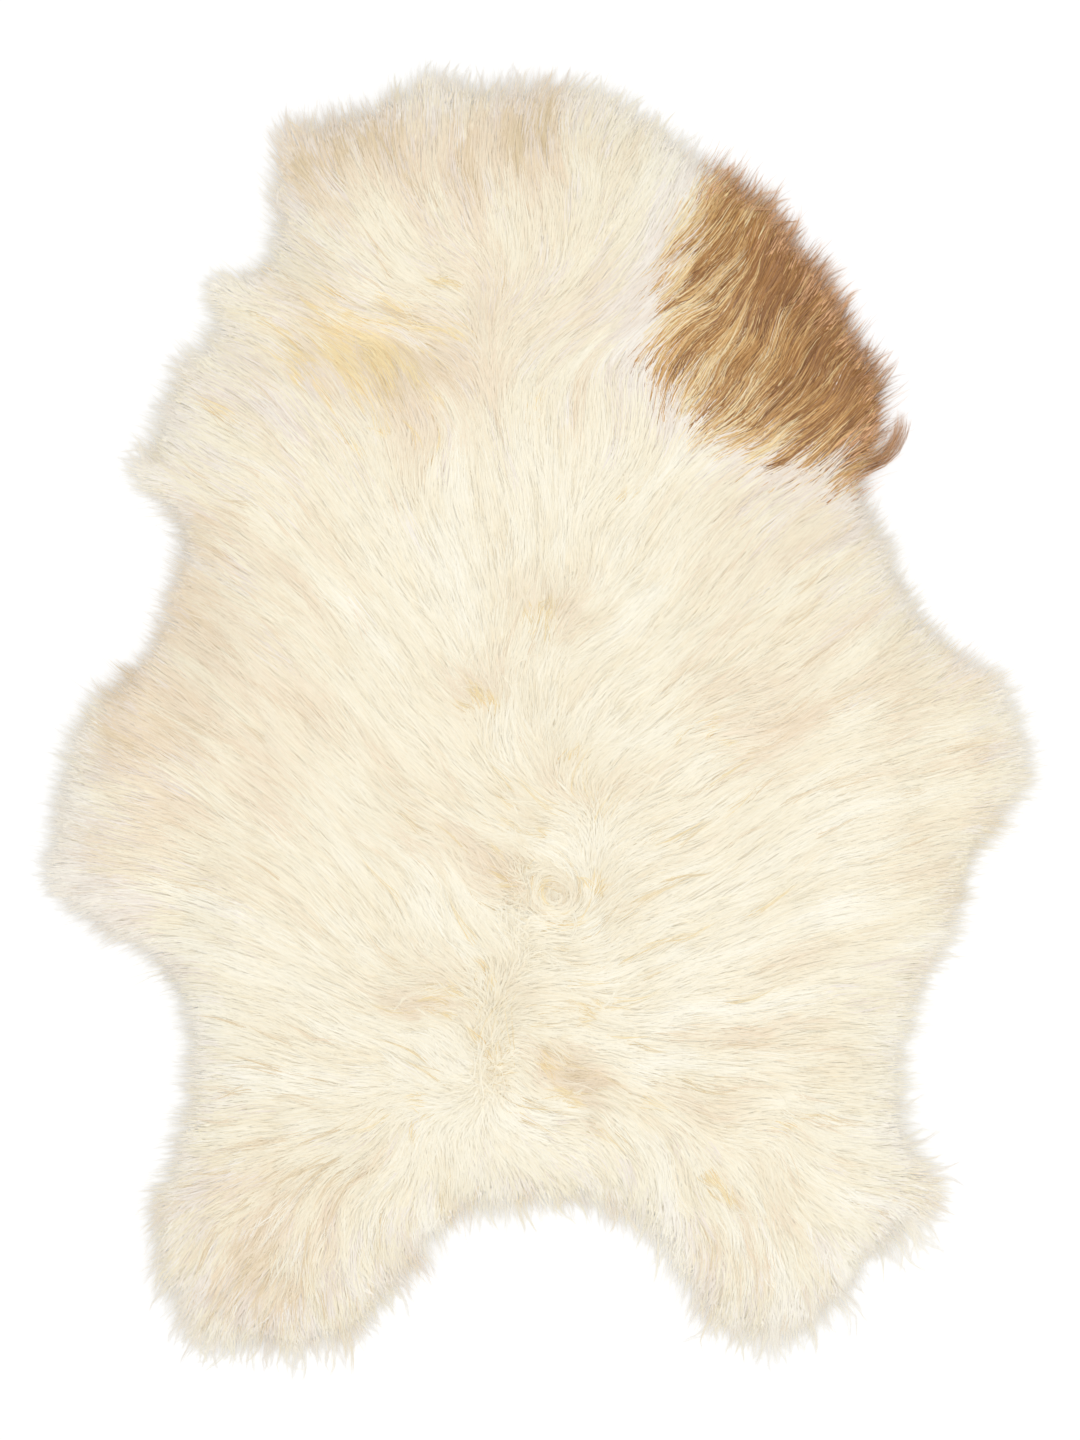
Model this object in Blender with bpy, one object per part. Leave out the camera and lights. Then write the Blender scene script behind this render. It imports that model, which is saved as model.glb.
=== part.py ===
"""A long-haired sheepskin laid out flat as a rug, hair side up.

The pelt is one piece: a tanned skin with its own fleece on. The neck points to +Y,
the hind legs to -Y, and it lies on the plane z = 0 with its box centred on the origin.
The solid is a lumpy slab of fleece, flat underneath, with a ring of tapering locks at
its rim. All sizes are in metres.
"""

import math
from collections import namedtuple

import bmesh
import bpy
import numpy as np
from mathutils import Vector, noise
from mathutils.geometry import delaunay_2d_cdt

# Driving dimensions of the fleece.
PILE_CROWN = 0.040  # height of the lying fleece well inside the rim
PILE_RIM = 0.016  # height of the fleece where the rim locks start
ROUNDING = 0.040  # how far in from the rim the pile takes to rise
LUMP_SIZES = (0.085, 0.036)  # spacing of the broad and the small lumps
LUMP_HEIGHTS = (0.0065, 0.0030)  # how far each kind stands up or sinks
RIM_LUMP = 0.35  # share of the lumps that is left at the rim itself

# Spacing of the surface points, and the rim locks.
RIM_STEP = 0.0158  # width of a rim lock's root
FIELD_STEP = 0.0182  # spacing of the points inside the rim
LOCK_MID = 0.52  # where along a lock its middle section lies
LOCK_MID_WIDTH = 0.70  # width there, as a share of the root
LOCK_MID_HEIGHT = 0.62  # height there, as a share of the root
LOCK_TIP_WIDTH = 0.0022
LOCK_TIP_HEIGHT = 0.0020
LOCK_CURL = 0.13  # sideways bow of a lock, as a share of its length
LOCK_SPREAD_DEG = 8.0  # how far a lock strays from the lie of the hair around it
LOCK_MOST_LEAN_DEG = 52.0  # how far a lock can lean from square to the rim
LOCK_LENGTHS = (0.62, 1.38)  # shortest and longest lock, as shares of the table's length
LOCK_GAP = 0.0006  # least gap that neighbouring locks keep
LOCK_TRIM = 0.88  # what a lock that meets another is shortened by, again and again
LOCK_LEAST = 0.004  # a lock is never shorter than this
SEED = 7

# The outline, anticlockwise from the right flank. hair_deg is the way the hair points
# at that place, anticlockwise from +X. lock is the usual length of a rim lock there.
Landmark = namedtuple("Landmark", "place x y hair_deg lock")
OUTLINE = (
    Landmark("right flank, widest", 0.411, -0.042, 6, 0.014),
    Landmark("right flank, front", 0.398, 0.010, 16, 0.014),
    Landmark("right flank, inner end", 0.362, 0.052, 30, 0.015),
    Landmark("right elbow, hollow", 0.322, 0.092, 48, 0.016),
    Landmark("right elbow, upper", 0.302, 0.146, 52, 0.016),
    Landmark("below the right shoulder", 0.280, 0.196, 44, 0.020),
    Landmark("right shoulder, low", 0.298, 0.250, 48, 0.030),
    Landmark("right shoulder, point", 0.296, 0.292, 56, 0.024),
    Landmark("right shoulder, high", 0.270, 0.337, 60, 0.018),
    Landmark("right side of the neck, low", 0.235, 0.394, 62, 0.018),
    Landmark("right side of the neck, high", 0.188, 0.444, 64, 0.018),
    Landmark("right corner of the neck", 0.128, 0.476, 58, 0.018),
    Landmark("neck end, right", 0.079, 0.508, 56, 0.022),
    Landmark("neck end, middle right", 0.026, 0.529, 66, 0.022),
    Landmark("neck end, middle", -0.040, 0.535, 80, 0.019),
    Landmark("neck end, middle left", -0.106, 0.531, 86, 0.019),
    Landmark("neck end, left", -0.166, 0.514, 92, 0.019),
    Landmark("left corner of the neck", -0.216, 0.490, 108, 0.016),
    Landmark("left side of the neck", -0.227, 0.446, 124, 0.013),
    Landmark("left side of the neck, low", -0.226, 0.394, 140, 0.013),
    Landmark("left cheek, top", -0.268, 0.371, 166, 0.014),
    Landmark("left cheek, low", -0.268, 0.331, 160, 0.016),
    Landmark("left shoulder, high", -0.304, 0.291, 150, 0.024),
    Landmark("left shoulder, middle", -0.325, 0.247, 152, 0.028),
    Landmark("left shoulder, low", -0.340, 0.207, 162, 0.028),
    Landmark("left elbow, upper", -0.313, 0.158, 166, 0.018),
    Landmark("left elbow, hollow", -0.310, 0.106, 152, 0.015),
    Landmark("left flank, front", -0.336, 0.056, 146, 0.016),
    Landmark("left flank, upper", -0.382, 0.008, 152, 0.017),
    Landmark("left flank, widest", -0.406, -0.048, 160, 0.016),
    Landmark("left flank, middle", -0.410, -0.105, 176, 0.016),
    Landmark("left flank, lower", -0.394, -0.158, 190, 0.016),
    Landmark("left flank, rear", -0.350, -0.202, 192, 0.017),
    Landmark("left waist", -0.308, -0.246, 182, 0.016),
    Landmark("left thigh, hollow", -0.294, -0.296, 172, 0.016),
    Landmark("left thigh", -0.308, -0.362, 190, 0.020),
    Landmark("left hind leg, outer", -0.328, -0.430, 226, 0.020),
    Landmark("left hind leg, low", -0.316, -0.487, 248, 0.022),
    Landmark("left hind leg, outer corner", -0.274, -0.524, 258, 0.021),
    Landmark("left hind leg, end", -0.212, -0.534, 266, 0.021),
    Landmark("left hind leg, inner corner", -0.148, -0.514, 282, 0.022),
    Landmark("left hind leg, inner", -0.113, -0.469, 298, 0.022),
    Landmark("left of the tail", -0.076, -0.430, 290, 0.020),
    Landmark("tail, left", -0.026, -0.413, 276, 0.022),
    Landmark("tail, right", 0.038, -0.413, 282, 0.022),
    Landmark("right of the tail", 0.094, -0.428, 268, 0.024),
    Landmark("right hind leg, inner", 0.126, -0.484, 276, 0.026),
    Landmark("right hind leg, inner corner", 0.160, -0.521, 268, 0.026),
    Landmark("right hind leg, end", 0.208, -0.530, 272, 0.026),
    Landmark("right hind leg, outer corner", 0.258, -0.504, 282, 0.032),
    Landmark("right hind leg, low", 0.296, -0.462, 304, 0.038),
    Landmark("right hind leg, outer", 0.318, -0.412, 322, 0.038),
    Landmark("right thigh", 0.316, -0.350, 344, 0.024),
    Landmark("right thigh, hollow", 0.312, -0.296, 2, 0.018),
    Landmark("right waist", 0.321, -0.240, 12, 0.016),
    Landmark("right flank, rear", 0.350, -0.180, 20, 0.016),
    Landmark("right flank, lower", 0.383, -0.112, 22, 0.016),
)

# Creases where the hair parts, or where two tufts lie away from each other.
Crease = namedtuple("Crease", "place x0 y0 x1 y1 half_width depth")
CREASES = (
    Crease("under the neck, left", -0.200, 0.330, -0.090, 0.316, 0.020, 0.012),
    Crease("whorl on the neck", -0.066, 0.368, -0.060, 0.362, 0.022, 0.007),
    Crease("spine, front", 0.000, 0.104, -0.020, 0.060, 0.020, 0.008),
    Crease("spine, middle", -0.045, 0.010, 0.000, -0.030, 0.022, 0.007),
    Crease("spine, rear", 0.042, -0.150, 0.010, -0.176, 0.018, 0.006),
    Crease("left of the spine", -0.100, -0.232, -0.045, -0.262, 0.020, 0.009),
    Crease("rump", -0.010, -0.280, 0.024, -0.340, 0.018, 0.010),
    Crease("right side", 0.140, 0.010, 0.215, -0.026, 0.018, 0.006),
    Crease("right loin", 0.130, -0.255, 0.040, -0.262, 0.018, 0.006),
    Crease("left hip", -0.240, -0.340, -0.100, -0.338, 0.018, 0.006),
    Crease("left hind leg", -0.280, -0.455, -0.180, -0.380, 0.022, 0.009),
    Crease("left foot", -0.250, -0.480, -0.205, -0.500, 0.022, 0.008),
    Crease("right foot", 0.128, -0.385, 0.150, -0.440, 0.020, 0.009),
    Crease("left flank fold, front", -0.300, 0.090, -0.318, 0.000, 0.024, 0.009),
    Crease("left flank fold, rear", -0.322, 0.000, -0.316, -0.190, 0.024, 0.008),
    Crease("right flank fold", 0.338, 0.060, 0.344, -0.100, 0.022, 0.007),
    Crease("left cheek", -0.226, 0.392, -0.222, 0.320, 0.016, 0.007),
)


def smooth_loop(rows, per_span):
    """Closed Catmull-Rom curve through the rows, with per_span samples between two rows."""
    before, here, after, beyond = (np.roll(rows, shift, axis=0) for shift in (1, 0, -1, -2))
    samples = []
    for t in np.arange(per_span) / per_span:
        bend = 2 * before - 5 * here + 4 * after - beyond
        twist = 3 * here - before - 3 * after + beyond
        samples.append(here + 0.5 * ((after - before) * t + bend * t**2 + twist * t**3))
    return np.stack(samples, axis=1).reshape(-1, rows.shape[1])


def even_steps(loop, step):
    """The loop again, with its points about step apart along it."""
    closed = np.vstack([loop, loop[:1]])
    lengths = np.linalg.norm(np.diff(closed[:, :2], axis=0), axis=1)
    along = np.concatenate([[0.0], np.cumsum(lengths)])
    count = round(along[-1] / step)
    stops = np.arange(count) * along[-1] / count
    return np.stack([np.interp(stops, along, column) for column in closed.T], axis=1)


def rim_table():
    """Rows of x, y, hair x, hair y and lock length at even steps around the rim."""
    rows = []
    for mark in OUTLINE:
        turn = math.radians(mark.hair_deg)
        rows.append((mark.x, mark.y, math.cos(turn), math.sin(turn), mark.lock))
    return even_steps(smooth_loop(np.array(rows), 12), RIM_STEP)


def distance_to_segments(points, starts, ends):
    """Distance from each point to the nearest of the segments."""
    runs = ends - starts
    offsets = points[:, None, :] - starts[None, :, :]
    shares = (offsets * runs).sum(axis=2) / (runs * runs).sum(axis=1)
    nearest = offsets - np.clip(shares, 0, 1)[:, :, None] * runs
    return np.linalg.norm(nearest, axis=2).min(axis=1)


def inside(points, loop):
    """Which points lie inside the closed loop, by the crossings of a ray towards +X."""
    starts = loop[None, :, :]
    ends = np.roll(loop, -1, axis=0)[None, :, :]
    x, y = points[:, None, 0], points[:, None, 1]
    spans = (starts[..., 1] > y) != (ends[..., 1] > y)
    rise = np.where(spans, ends[..., 1] - starts[..., 1], 1.0)
    crossing = starts[..., 0] + (y - starts[..., 1]) / rise * (ends[..., 0] - starts[..., 0])
    return (spans & (crossing > x)).sum(axis=1) % 2 == 1


def fleece_height(points, rim):
    """Height of the fleece's surface: a rounded rim, a lumpy crown, and the creases."""
    depth_in = distance_to_segments(points, rim, np.roll(rim, -1, axis=0))
    rise = 1 - np.exp(-depth_in / ROUNDING)
    height = PILE_RIM + (PILE_CROWN - PILE_RIM) * rise
    full = RIM_LUMP + (1 - RIM_LUMP) * rise
    for size, lump in zip(LUMP_SIZES, LUMP_HEIGHTS):
        spots = [noise.noise(Vector((x / size, y / size, size * SEED))) for x, y in points]
        height += lump * full * np.array(spots)
    for crease in CREASES:
        start = np.array([[crease.x0, crease.y0]])
        end = np.array([[crease.x1, crease.y1]])
        away = distance_to_segments(points, start, end) / crease.half_width
        height -= crease.depth * full * np.exp(-away * away)
    return height


def field_points(rim):
    """A triangular grid of points inside the rim, none of them too near to it."""
    row_gap = FIELD_STEP * math.sqrt(3) / 2
    low, high = rim.min(axis=0), rim.max(axis=0)
    points = []
    for row, y in enumerate(np.arange(low[1], high[1], row_gap)):
        for x in np.arange(low[0] + row % 2 * FIELD_STEP / 2, high[0], FIELD_STEP):
            points.append((x, y))
    points = np.array(points)
    points = points[inside(points, rim)]
    margin = distance_to_segments(points, rim, np.roll(rim, -1, axis=0))
    return points[margin > 0.6 * FIELD_STEP]


class Lock:
    """One rim lock, seen from above: a root as wide as its face, a middle and a tip."""

    def __init__(self, start, end, hair, length, bow):
        self.start, self.end = start, end
        self.width = np.linalg.norm(end - start)
        self.length, self.bow = length, bow
        outward = np.array([end[1] - start[1], start[0] - end[0]]) / self.width
        turn = math.atan2(outward[0] * hair[1] - outward[1] * hair[0], outward @ hair)
        most = math.radians(LOCK_MOST_LEAN_DEG)
        self.lean = min(max(turn, -most), most)
        cos, sin = math.cos(self.lean), math.sin(self.lean)
        x = cos * outward[0] - sin * outward[1]
        y = sin * outward[0] + cos * outward[1]
        self.way = np.array([x, y])

    def stations(self):
        """The two corners of the middle and of the tip, in the order in which the rim runs."""
        across = np.array([-self.way[1], self.way[0]])
        root = (self.start + self.end) / 2
        middle = root + LOCK_MID * self.length * self.way + self.bow * self.length * across
        tip = root + self.length * self.way
        half = LOCK_MID_WIDTH * self.width * math.cos(self.lean) / 2
        return [
            (middle - half * across, middle + half * across),
            (tip - LOCK_TIP_WIDTH / 2 * across, tip + LOCK_TIP_WIDTH / 2 * across),
        ]

    def loop(self):
        """The lock's outline from one corner of its root to the other."""
        (mid_start, mid_end), (tip_start, tip_end) = self.stations()
        return np.array([self.start, mid_start, tip_start, tip_end, mid_end, self.end])


def rim_locks(table):
    """A lock on each step of the rim, shortened until none meets another or the pelt."""
    rng = np.random.default_rng(SEED)
    locks = []
    for here, ahead in zip(table, np.roll(table, -1, axis=0)):
        spread = math.radians(LOCK_SPREAD_DEG) * rng.normal()
        turn = math.atan2(here[3] + ahead[3], here[2] + ahead[2]) + spread
        hair = np.array([math.cos(turn), math.sin(turn)])
        length = (here[4] + ahead[4]) / 2 * rng.uniform(*LOCK_LENGTHS)
        bow = rng.uniform(-LOCK_CURL, LOCK_CURL)
        locks.append(Lock(here[:2], ahead[:2], hair, length, bow))
    rim = table[:, :2]
    while True:
        crowded = [lock for lock in locks if lock.length > LOCK_LEAST and meets(lock, locks, rim)]
        if not crowded:
            return locks
        for lock in crowded:
            lock.length *= LOCK_TRIM


def meets(lock, locks, rim):
    """Whether the free sides of a lock come within the gap of another lock or of the rim."""
    loop = lock.loop()
    probes = free_points(loop)
    if inside(probes, rim).any():
        return True
    for other in locks:
        reach = lock.length + other.length + lock.width + other.width
        if other is lock or np.linalg.norm(other.start - lock.start) > reach:
            continue
        fence = other.loop()
        if inside(probes, fence).any() or inside(free_points(fence), loop).any():
            return True
        if distance_to_segments(probes, fence[:-1], fence[1:]).min() < LOCK_GAP:
            return True
    return False


def free_points(loop):
    """Points along a lock's sides, from a little off its root to its tip."""
    shares = np.array([0.3, 0.65, 1.0])[:, None]
    runs = ((0, 1), (1, 2), (5, 4), (4, 3))
    return np.vstack([loop[a] + (loop[b] - loop[a]) * shares for a, b in runs])


def add_slab(mesh, rim):
    """Fills the mesh with the lumpy slab and returns its side faces."""
    corners = np.vstack([rim, field_points(rim)])
    flat = [Vector(corner) for corner in corners]
    around = list(range(len(rim)))
    found = delaunay_2d_cdt(flat, [], [around], 1, 1e-6)
    places = np.array([tuple(place) for place in found[0]])
    heights = fleece_height(places, rim)
    top = [mesh.verts.new((x, y, z)) for (x, y), z in zip(places, heights)]
    for face in found[2]:
        mesh.faces.new([top[corner] for corner in face])
    edges = [edge for edge in mesh.edges if edge.is_boundary]
    made = bmesh.ops.extrude_edge_only(mesh, edges=edges)["geom"]
    for corner in made:
        if isinstance(corner, bmesh.types.BMVert):
            corner.co.z = 0.0
    sides = [face for face in made if isinstance(face, bmesh.types.BMFace)]
    bottom = [edge for edge in made if isinstance(edge, bmesh.types.BMEdge) and edge.is_boundary]
    bmesh.ops.edgeloop_fill(mesh, edges=bottom)
    bmesh.ops.recalc_face_normals(mesh, faces=mesh.faces)
    return sides


def grow_lock(mesh, side, lock):
    """Draws a side face out into a lock that lies level on the floor."""
    was_start, was_end = lock.start, lock.end
    tops = [corner.co.z for corner in side.verts if corner.co.z > 0]
    heights = (LOCK_MID_HEIGHT * sum(tops) / len(tops), LOCK_TIP_HEIGHT)
    for (start, end), height in zip(lock.stations(), heights):
        side = bmesh.ops.extrude_discrete_faces(mesh, faces=[side])["faces"][0]
        for corner in side.verts:
            place = np.array(corner.co[:2])
            at_start = np.linalg.norm(place - was_start) < np.linalg.norm(place - was_end)
            x, y = start if at_start else end
            corner.co = (x, y, height if corner.co.z > 0 else 0.0)
        was_start, was_end = start, end


def centre_on_origin(mesh):
    """Moves the mesh so that its box stands centred on the origin."""
    corners = np.array([tuple(corner.co) for corner in mesh.verts])
    middle = (corners.min(axis=0) + corners.max(axis=0)) / 2
    bmesh.ops.translate(mesh, verts=mesh.verts, vec=Vector((-middle[0], -middle[1], 0.0)))


def fleece_material():
    """Cream wool with a soft, dull finish."""
    material = bpy.data.materials.new("cream fleece")
    material.use_nodes = True
    shader = material.node_tree.nodes["Principled BSDF"]
    shader.inputs["Base Color"].default_value = (0.86, 0.80, 0.68, 1.0)
    shader.inputs["Roughness"].default_value = 0.9
    shader.inputs["Metallic"].default_value = 0.0
    return material


def build_sheepskin():
    """The pelt as one closed solid, named for its node."""
    table = rim_table()
    rim = table[:, :2]
    mesh = bmesh.new()
    sides = add_slab(mesh, rim)
    locks = rim_locks(table)
    middles = np.array([(lock.start + lock.end) / 2 for lock in locks])
    for side in sides:
        centre = np.array(side.calc_center_median()[:2])
        nearest = np.linalg.norm(middles - centre, axis=1).argmin()
        grow_lock(mesh, side, locks[nearest])
    centre_on_origin(mesh)
    bmesh.ops.recalc_face_normals(mesh, faces=mesh.faces)
    data = bpy.data.meshes.new("sheepskin")
    mesh.to_mesh(data)
    mesh.free()
    data.shade_smooth()
    data.set_sharp_from_angle(angle=math.radians(50))
    data.materials.append(fleece_material())
    pelt = bpy.data.objects.new("sheepskin", data)
    bpy.context.scene.collection.objects.link(pelt)
    size = np.array([tuple(corner.co) for corner in data.vertices])
    print("sheepskin:", len(locks), "rim locks,", len(data.vertices), "points, size", np.ptp(size, axis=0))


def main():
    for thing in list(bpy.data.objects):
        bpy.data.objects.remove(thing)
    build_sheepskin()


main()
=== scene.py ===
# %% [markdown]
# # A long-haired sheepskin, dressed hair by hair
# A sheepskin rug is one tanned skin with its own fleece on. This lesson starts from a
# plain solid of the right size and outline, and gives it what the eye looks for in real
# wool: about 140,000 fine hairs, gathered in locks, that lie down one over the other and run
# over the rim in loose wisps.
#
# Hair could be left to a particle system, but then it is not a mesh, and it would be lost
# when the model is used somewhere else. Here each hair is a thin tapering blade. Arrays
# work out where the blades go, and many blades are joined into each piece.

# %% Load the solid that the fleece has to fit
import math
import time
from collections import namedtuple

import bmesh
import bpy
import numpy as np
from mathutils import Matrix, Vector, noise
from mathutils.bvhtree import BVHTree


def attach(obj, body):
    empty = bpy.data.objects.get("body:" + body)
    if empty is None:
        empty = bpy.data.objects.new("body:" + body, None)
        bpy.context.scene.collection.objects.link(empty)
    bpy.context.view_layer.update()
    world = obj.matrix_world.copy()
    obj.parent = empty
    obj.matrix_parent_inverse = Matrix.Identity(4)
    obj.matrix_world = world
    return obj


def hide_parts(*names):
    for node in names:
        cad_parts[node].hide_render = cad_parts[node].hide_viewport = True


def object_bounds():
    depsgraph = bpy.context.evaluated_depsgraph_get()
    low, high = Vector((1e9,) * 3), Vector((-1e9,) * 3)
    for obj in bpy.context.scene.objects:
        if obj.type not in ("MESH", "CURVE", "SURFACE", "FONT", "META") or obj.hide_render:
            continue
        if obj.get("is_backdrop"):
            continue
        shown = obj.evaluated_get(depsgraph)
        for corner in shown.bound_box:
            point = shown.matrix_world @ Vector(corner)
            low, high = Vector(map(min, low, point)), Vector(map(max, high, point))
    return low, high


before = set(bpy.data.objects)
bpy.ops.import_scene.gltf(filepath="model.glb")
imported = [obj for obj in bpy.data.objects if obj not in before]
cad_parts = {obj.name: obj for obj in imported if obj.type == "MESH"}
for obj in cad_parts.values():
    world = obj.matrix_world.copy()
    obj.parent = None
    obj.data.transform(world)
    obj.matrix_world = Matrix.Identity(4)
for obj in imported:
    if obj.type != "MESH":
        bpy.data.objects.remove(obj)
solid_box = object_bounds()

clock = time.time()
pelt_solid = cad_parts["sheepskin"]
rng = np.random.default_rng(20)
print("solid box", [tuple(round(c, 4) for c in corner) for corner in solid_box])

# %% [markdown]
# ## Measure the solid on a fine grid
# Every hair needs to know three things about the place it passes over: how high the
# fleece stands there, how far it is from the rim, and which way the hair lies. Asking the
# mesh for each point of each hair would be slow. So the solid is measured once, by rays
# sent straight down on a grid of 4 mm, and hairs read the grid by blending its four
# nearest values.

# %% Heights on the grid
CELL = 0.004
MARGIN = 0.085
FLEECE_EDGE_HEIGHT = 0.0112

low = np.array([solid_box[0][0] - MARGIN, solid_box[0][1] - MARGIN])
high = np.array([solid_box[1][0] + MARGIN, solid_box[1][1] + MARGIN])
columns = int((high[0] - low[0]) / CELL) + 1
rows = int((high[1] - low[1]) / CELL) + 1
grid_x = low[0] + CELL * np.arange(columns)
grid_y = low[1] + CELL * np.arange(rows)


def drop_rays(solid):
    """Height of the solid's top at each grid point, and 0 where a ray misses it."""
    shape = bmesh.new()
    shape.from_mesh(solid.data)
    bmesh.ops.remove_doubles(shape, verts=shape.verts, dist=1e-5)
    tree = BVHTree.FromBMesh(shape)
    shape.free()
    found = np.zeros((rows, columns))
    down = Vector((0, 0, -1))
    for row, y in enumerate(grid_y):
        for column, x in enumerate(grid_x):
            hit = tree.ray_cast(Vector((x, y, 1.0)), down)[0]
            if hit:
                found[row, column] = hit.z
    return found


def blur(field, reach):
    """The field softened by a Gaussian whose standard deviation is reach, in metres."""
    cells = int(3 * reach / CELL) + 1
    weights = np.exp(-((np.arange(-cells, cells + 1) * CELL / reach) ** 2) / 2)
    weights /= weights.sum()
    for axis in (0, 1):
        wider = [(cells, cells) if a == axis else (0, 0) for a in (0, 1)]
        padded = np.pad(field, wider, "edge")
        along = np.arange(field.shape[axis])
        field = sum(w * np.take(padded, along + i, axis) for i, w in enumerate(weights))
    return field


top = drop_rays(pelt_solid)
on_pelt = top > FLEECE_EDGE_HEIGHT
print("grid", columns, "x", rows, "pelt area", round(on_pelt.sum() * CELL * CELL, 4), "m2")

# %% Distance from the rim, positive inside
def rim_distance(mask):
    """Distance of each grid point from the mask's edge, positive inside the mask."""
    beside = [np.roll(mask, step, axis) for step in (1, -1) for axis in (0, 1)]
    edge = mask & ~np.logical_and.reduce(beside)
    edge_rows, edge_columns = np.nonzero(edge)
    found = np.empty(mask.shape)
    for row in range(mask.shape[0]):
        across = np.arange(mask.shape[1])[:, None] - edge_columns[None, :]
        found[row] = np.sqrt((across**2 + (row - edge_rows) ** 2).min(axis=1))
    return np.where(mask, found + 0.5, 0.5 - found) * CELL


RIM_BLUR = 0.004
rim = blur(rim_distance(on_pelt), RIM_BLUR)
print("furthest point from the rim", round(rim.max(), 3), "m")

# %% [markdown]
# Much of this lesson is tables of places on the rug: a name, where it is, how far it reaches
# and what the hair does there. They are easier to write in millimetres, but Blender works in
# metres. So one helper reads every table, and divides the columns in millimetres by 1000.

# %% A helper that reads the tables
def rows_of(row, in_millimetres, table):
    """The table's lines as named rows, with the columns that are in millimetres in metres."""
    named = [row(*line) for line in table]
    return [
        line._replace(**{column: getattr(line, column) / 1000 for column in in_millimetres.split()})
        for line in named
    ]


# %% Where the hair stops short of the solid's rim, or runs past it
Edge = namedtuple("Edge", "place x y spread out")
EDGES = rows_of(Edge, "x y spread out", (
    ("top of the neck, left", -162, 529, 30, -5),
    ("left of the neck", -234, 444, 30, -3),
    ("below the left cheek", -255, 388, 15, -9),
    ("left shoulder, upper notch", -298, 325, 14, -7),
    ("left shoulder, lower notch", -336, 235, 16, -15),
    ("left elbow", -319, 163, 22, -13),
    ("left flap, front", -391, 27, 40, -3),
    ("left flap, rear", -336, -215, 30, -17),
    ("left leg, inner side", -68, -440, 25, -9),
    ("left foot, inner side", -119, -491, 20, -7),
    ("right foot, inner side", 119, -483, 25, -2),
    ("right foot, underneath", 165, -525, 30, -3),
    ("right foot, outer side", 293, -483, 35, -26),
    ("right thigh", 318, -338, 40, -10),
    ("right hip", 323, -236, 40, -5),
    ("right flap, rear", 382, -117, 30, -14),
    ("right elbow", 314, 121, 35, -9),
    ("below the brown patch", 293, 201, 30, -14),
    ("brown patch, lower", 310, 291, 30, -14),
    ("brown patch, gap beside the hooked wisp", 304, 262, 10, -11),
    ("brown patch, middle", 280, 350, 30, -15),
    ("brown patch, upper", 229, 414, 35, -14),
    ("brown patch, top", 174, 465, 35, -7),
    ("left flap, tip", -418, -66, 35, -6),
    ("left elbow, lower", -353, 68, 25, -8),
    ("right flap, tip", 425, 0, 30, -4),
    ("right elbow, lower", 357, 82, 22, -9),
    ("top of the neck, middle", -35, 552, 40, -4),
    ("tail, middle", 20, -420, 30, -4),
    ("left thigh, outer side", -312, -360, 50, -4),
    ("left foot, inner end", -132, -520, 20, -6),
    ("left corner of the neck", -226, 516, 14, 14),
    ("top wisp, left", -94, 554, 12, 12),
    ("top wisp, middle", 21, 550, 12, 10),
    ("top wisp, right", 72, 541, 12, 3),
    ("left cheek", -285, 371, 14, 12),
    ("left shoulder, upper wisp", -319, 316, 12, 10),
    ("left shoulder, lower wisp", -353, 218, 12, 14),
    ("left elbow, wisp", -328, 104, 14, 6),
    ("left flap, wisp", -425, -139, 18, 14),
    ("right flap, front", 408, 44, 22, 6),
    ("right flap, wisp", 431, -54, 20, 1),
    ("left foot, underneath", -235, -545, 35, -9),
    ("left foot, corner", -285, -542, 22, 10),
    ("right foot, tip", 195, -545, 35, -7),
    ("left foot, wisp", -217, -558, 12, 8),
    ("right foot, upper wisp", 344, -406, 20, 12),
    ("right foot, lower wisp", 330, -462, 14, 13),
    ("right foot, bottom wisp", 199, -549, 14, 10),
    ("tail, left", -22, -436, 12, 10),
    ("tail, right", 72, -444, 14, 10),
))
spots_x, spots_y = np.meshgrid(grid_x, grid_y)


def bump_at(place, reach):
    """1 at the place, falling to nothing a couple of reaches away."""
    return np.exp(-((spots_x - place.x) ** 2 + (spots_y - place.y) ** 2) / (2 * reach**2))


rim = rim + sum(edge.out * bump_at(edge, edge.spread) for edge in EDGES)
print(len(EDGES), "places where the rim of the hair moves in or out")

# %% The surface that the hair lies on
RIM_DROOP = 0.016
RIM_HEIGHT = 0.0155
LEAST_HEIGHT = 0.0016


def height_round(reach):
    """Mean height of the pelt round each grid point, leaving out what lies beyond its rim."""
    share = blur(on_pelt.astype(float), reach)
    return blur(np.where(on_pelt, top, 0.0), reach) / np.maximum(share, 1e-6)


inside_height, edge_height = height_round(0.006), height_round(0.03)
falling = np.minimum(edge_height, RIM_HEIGHT) * np.exp(np.minimum(rim, 0) / RIM_DROOP)
lie = np.where(rim > 0, inside_height, np.maximum(falling, LEAST_HEIGHT))
lie = np.maximum(blur(lie, 0.0045), LEAST_HEIGHT)
print("the hair lies at most", round(lie.max() * 1000, 1), "mm above the floor")


def read(field, points):
    """The field's value at each (x, y), blended from the four grid points around it."""
    at = (points - low) / CELL
    column = np.clip(at[..., 0].astype(int), 0, columns - 2)
    row = np.clip(at[..., 1].astype(int), 0, rows - 2)
    across = np.clip(at[..., 0] - column, 0, 1)
    along = np.clip(at[..., 1] - row, 0, 1)
    near = field[row, column] * (1 - across) + field[row, column + 1] * across
    far = field[row + 1, column] * (1 - across) + field[row + 1, column + 1] * across
    return near * (1 - along) + far * along


# %% [markdown]
# ## Comb the fleece
# What makes a sheepskin look real is less the single hair than the way the hair lies. It
# parts along the spine, sweeps up and out over the flanks, fans out on the legs, and turns
# round a few whorls. A groomer would comb it with a brush. Here a table does the combing:
# each row is one line across the pelt, with the length of its hair. Its other columns give
# the way the hair points, in degrees anticlockwise from +X, at nine places along that line.

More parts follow.
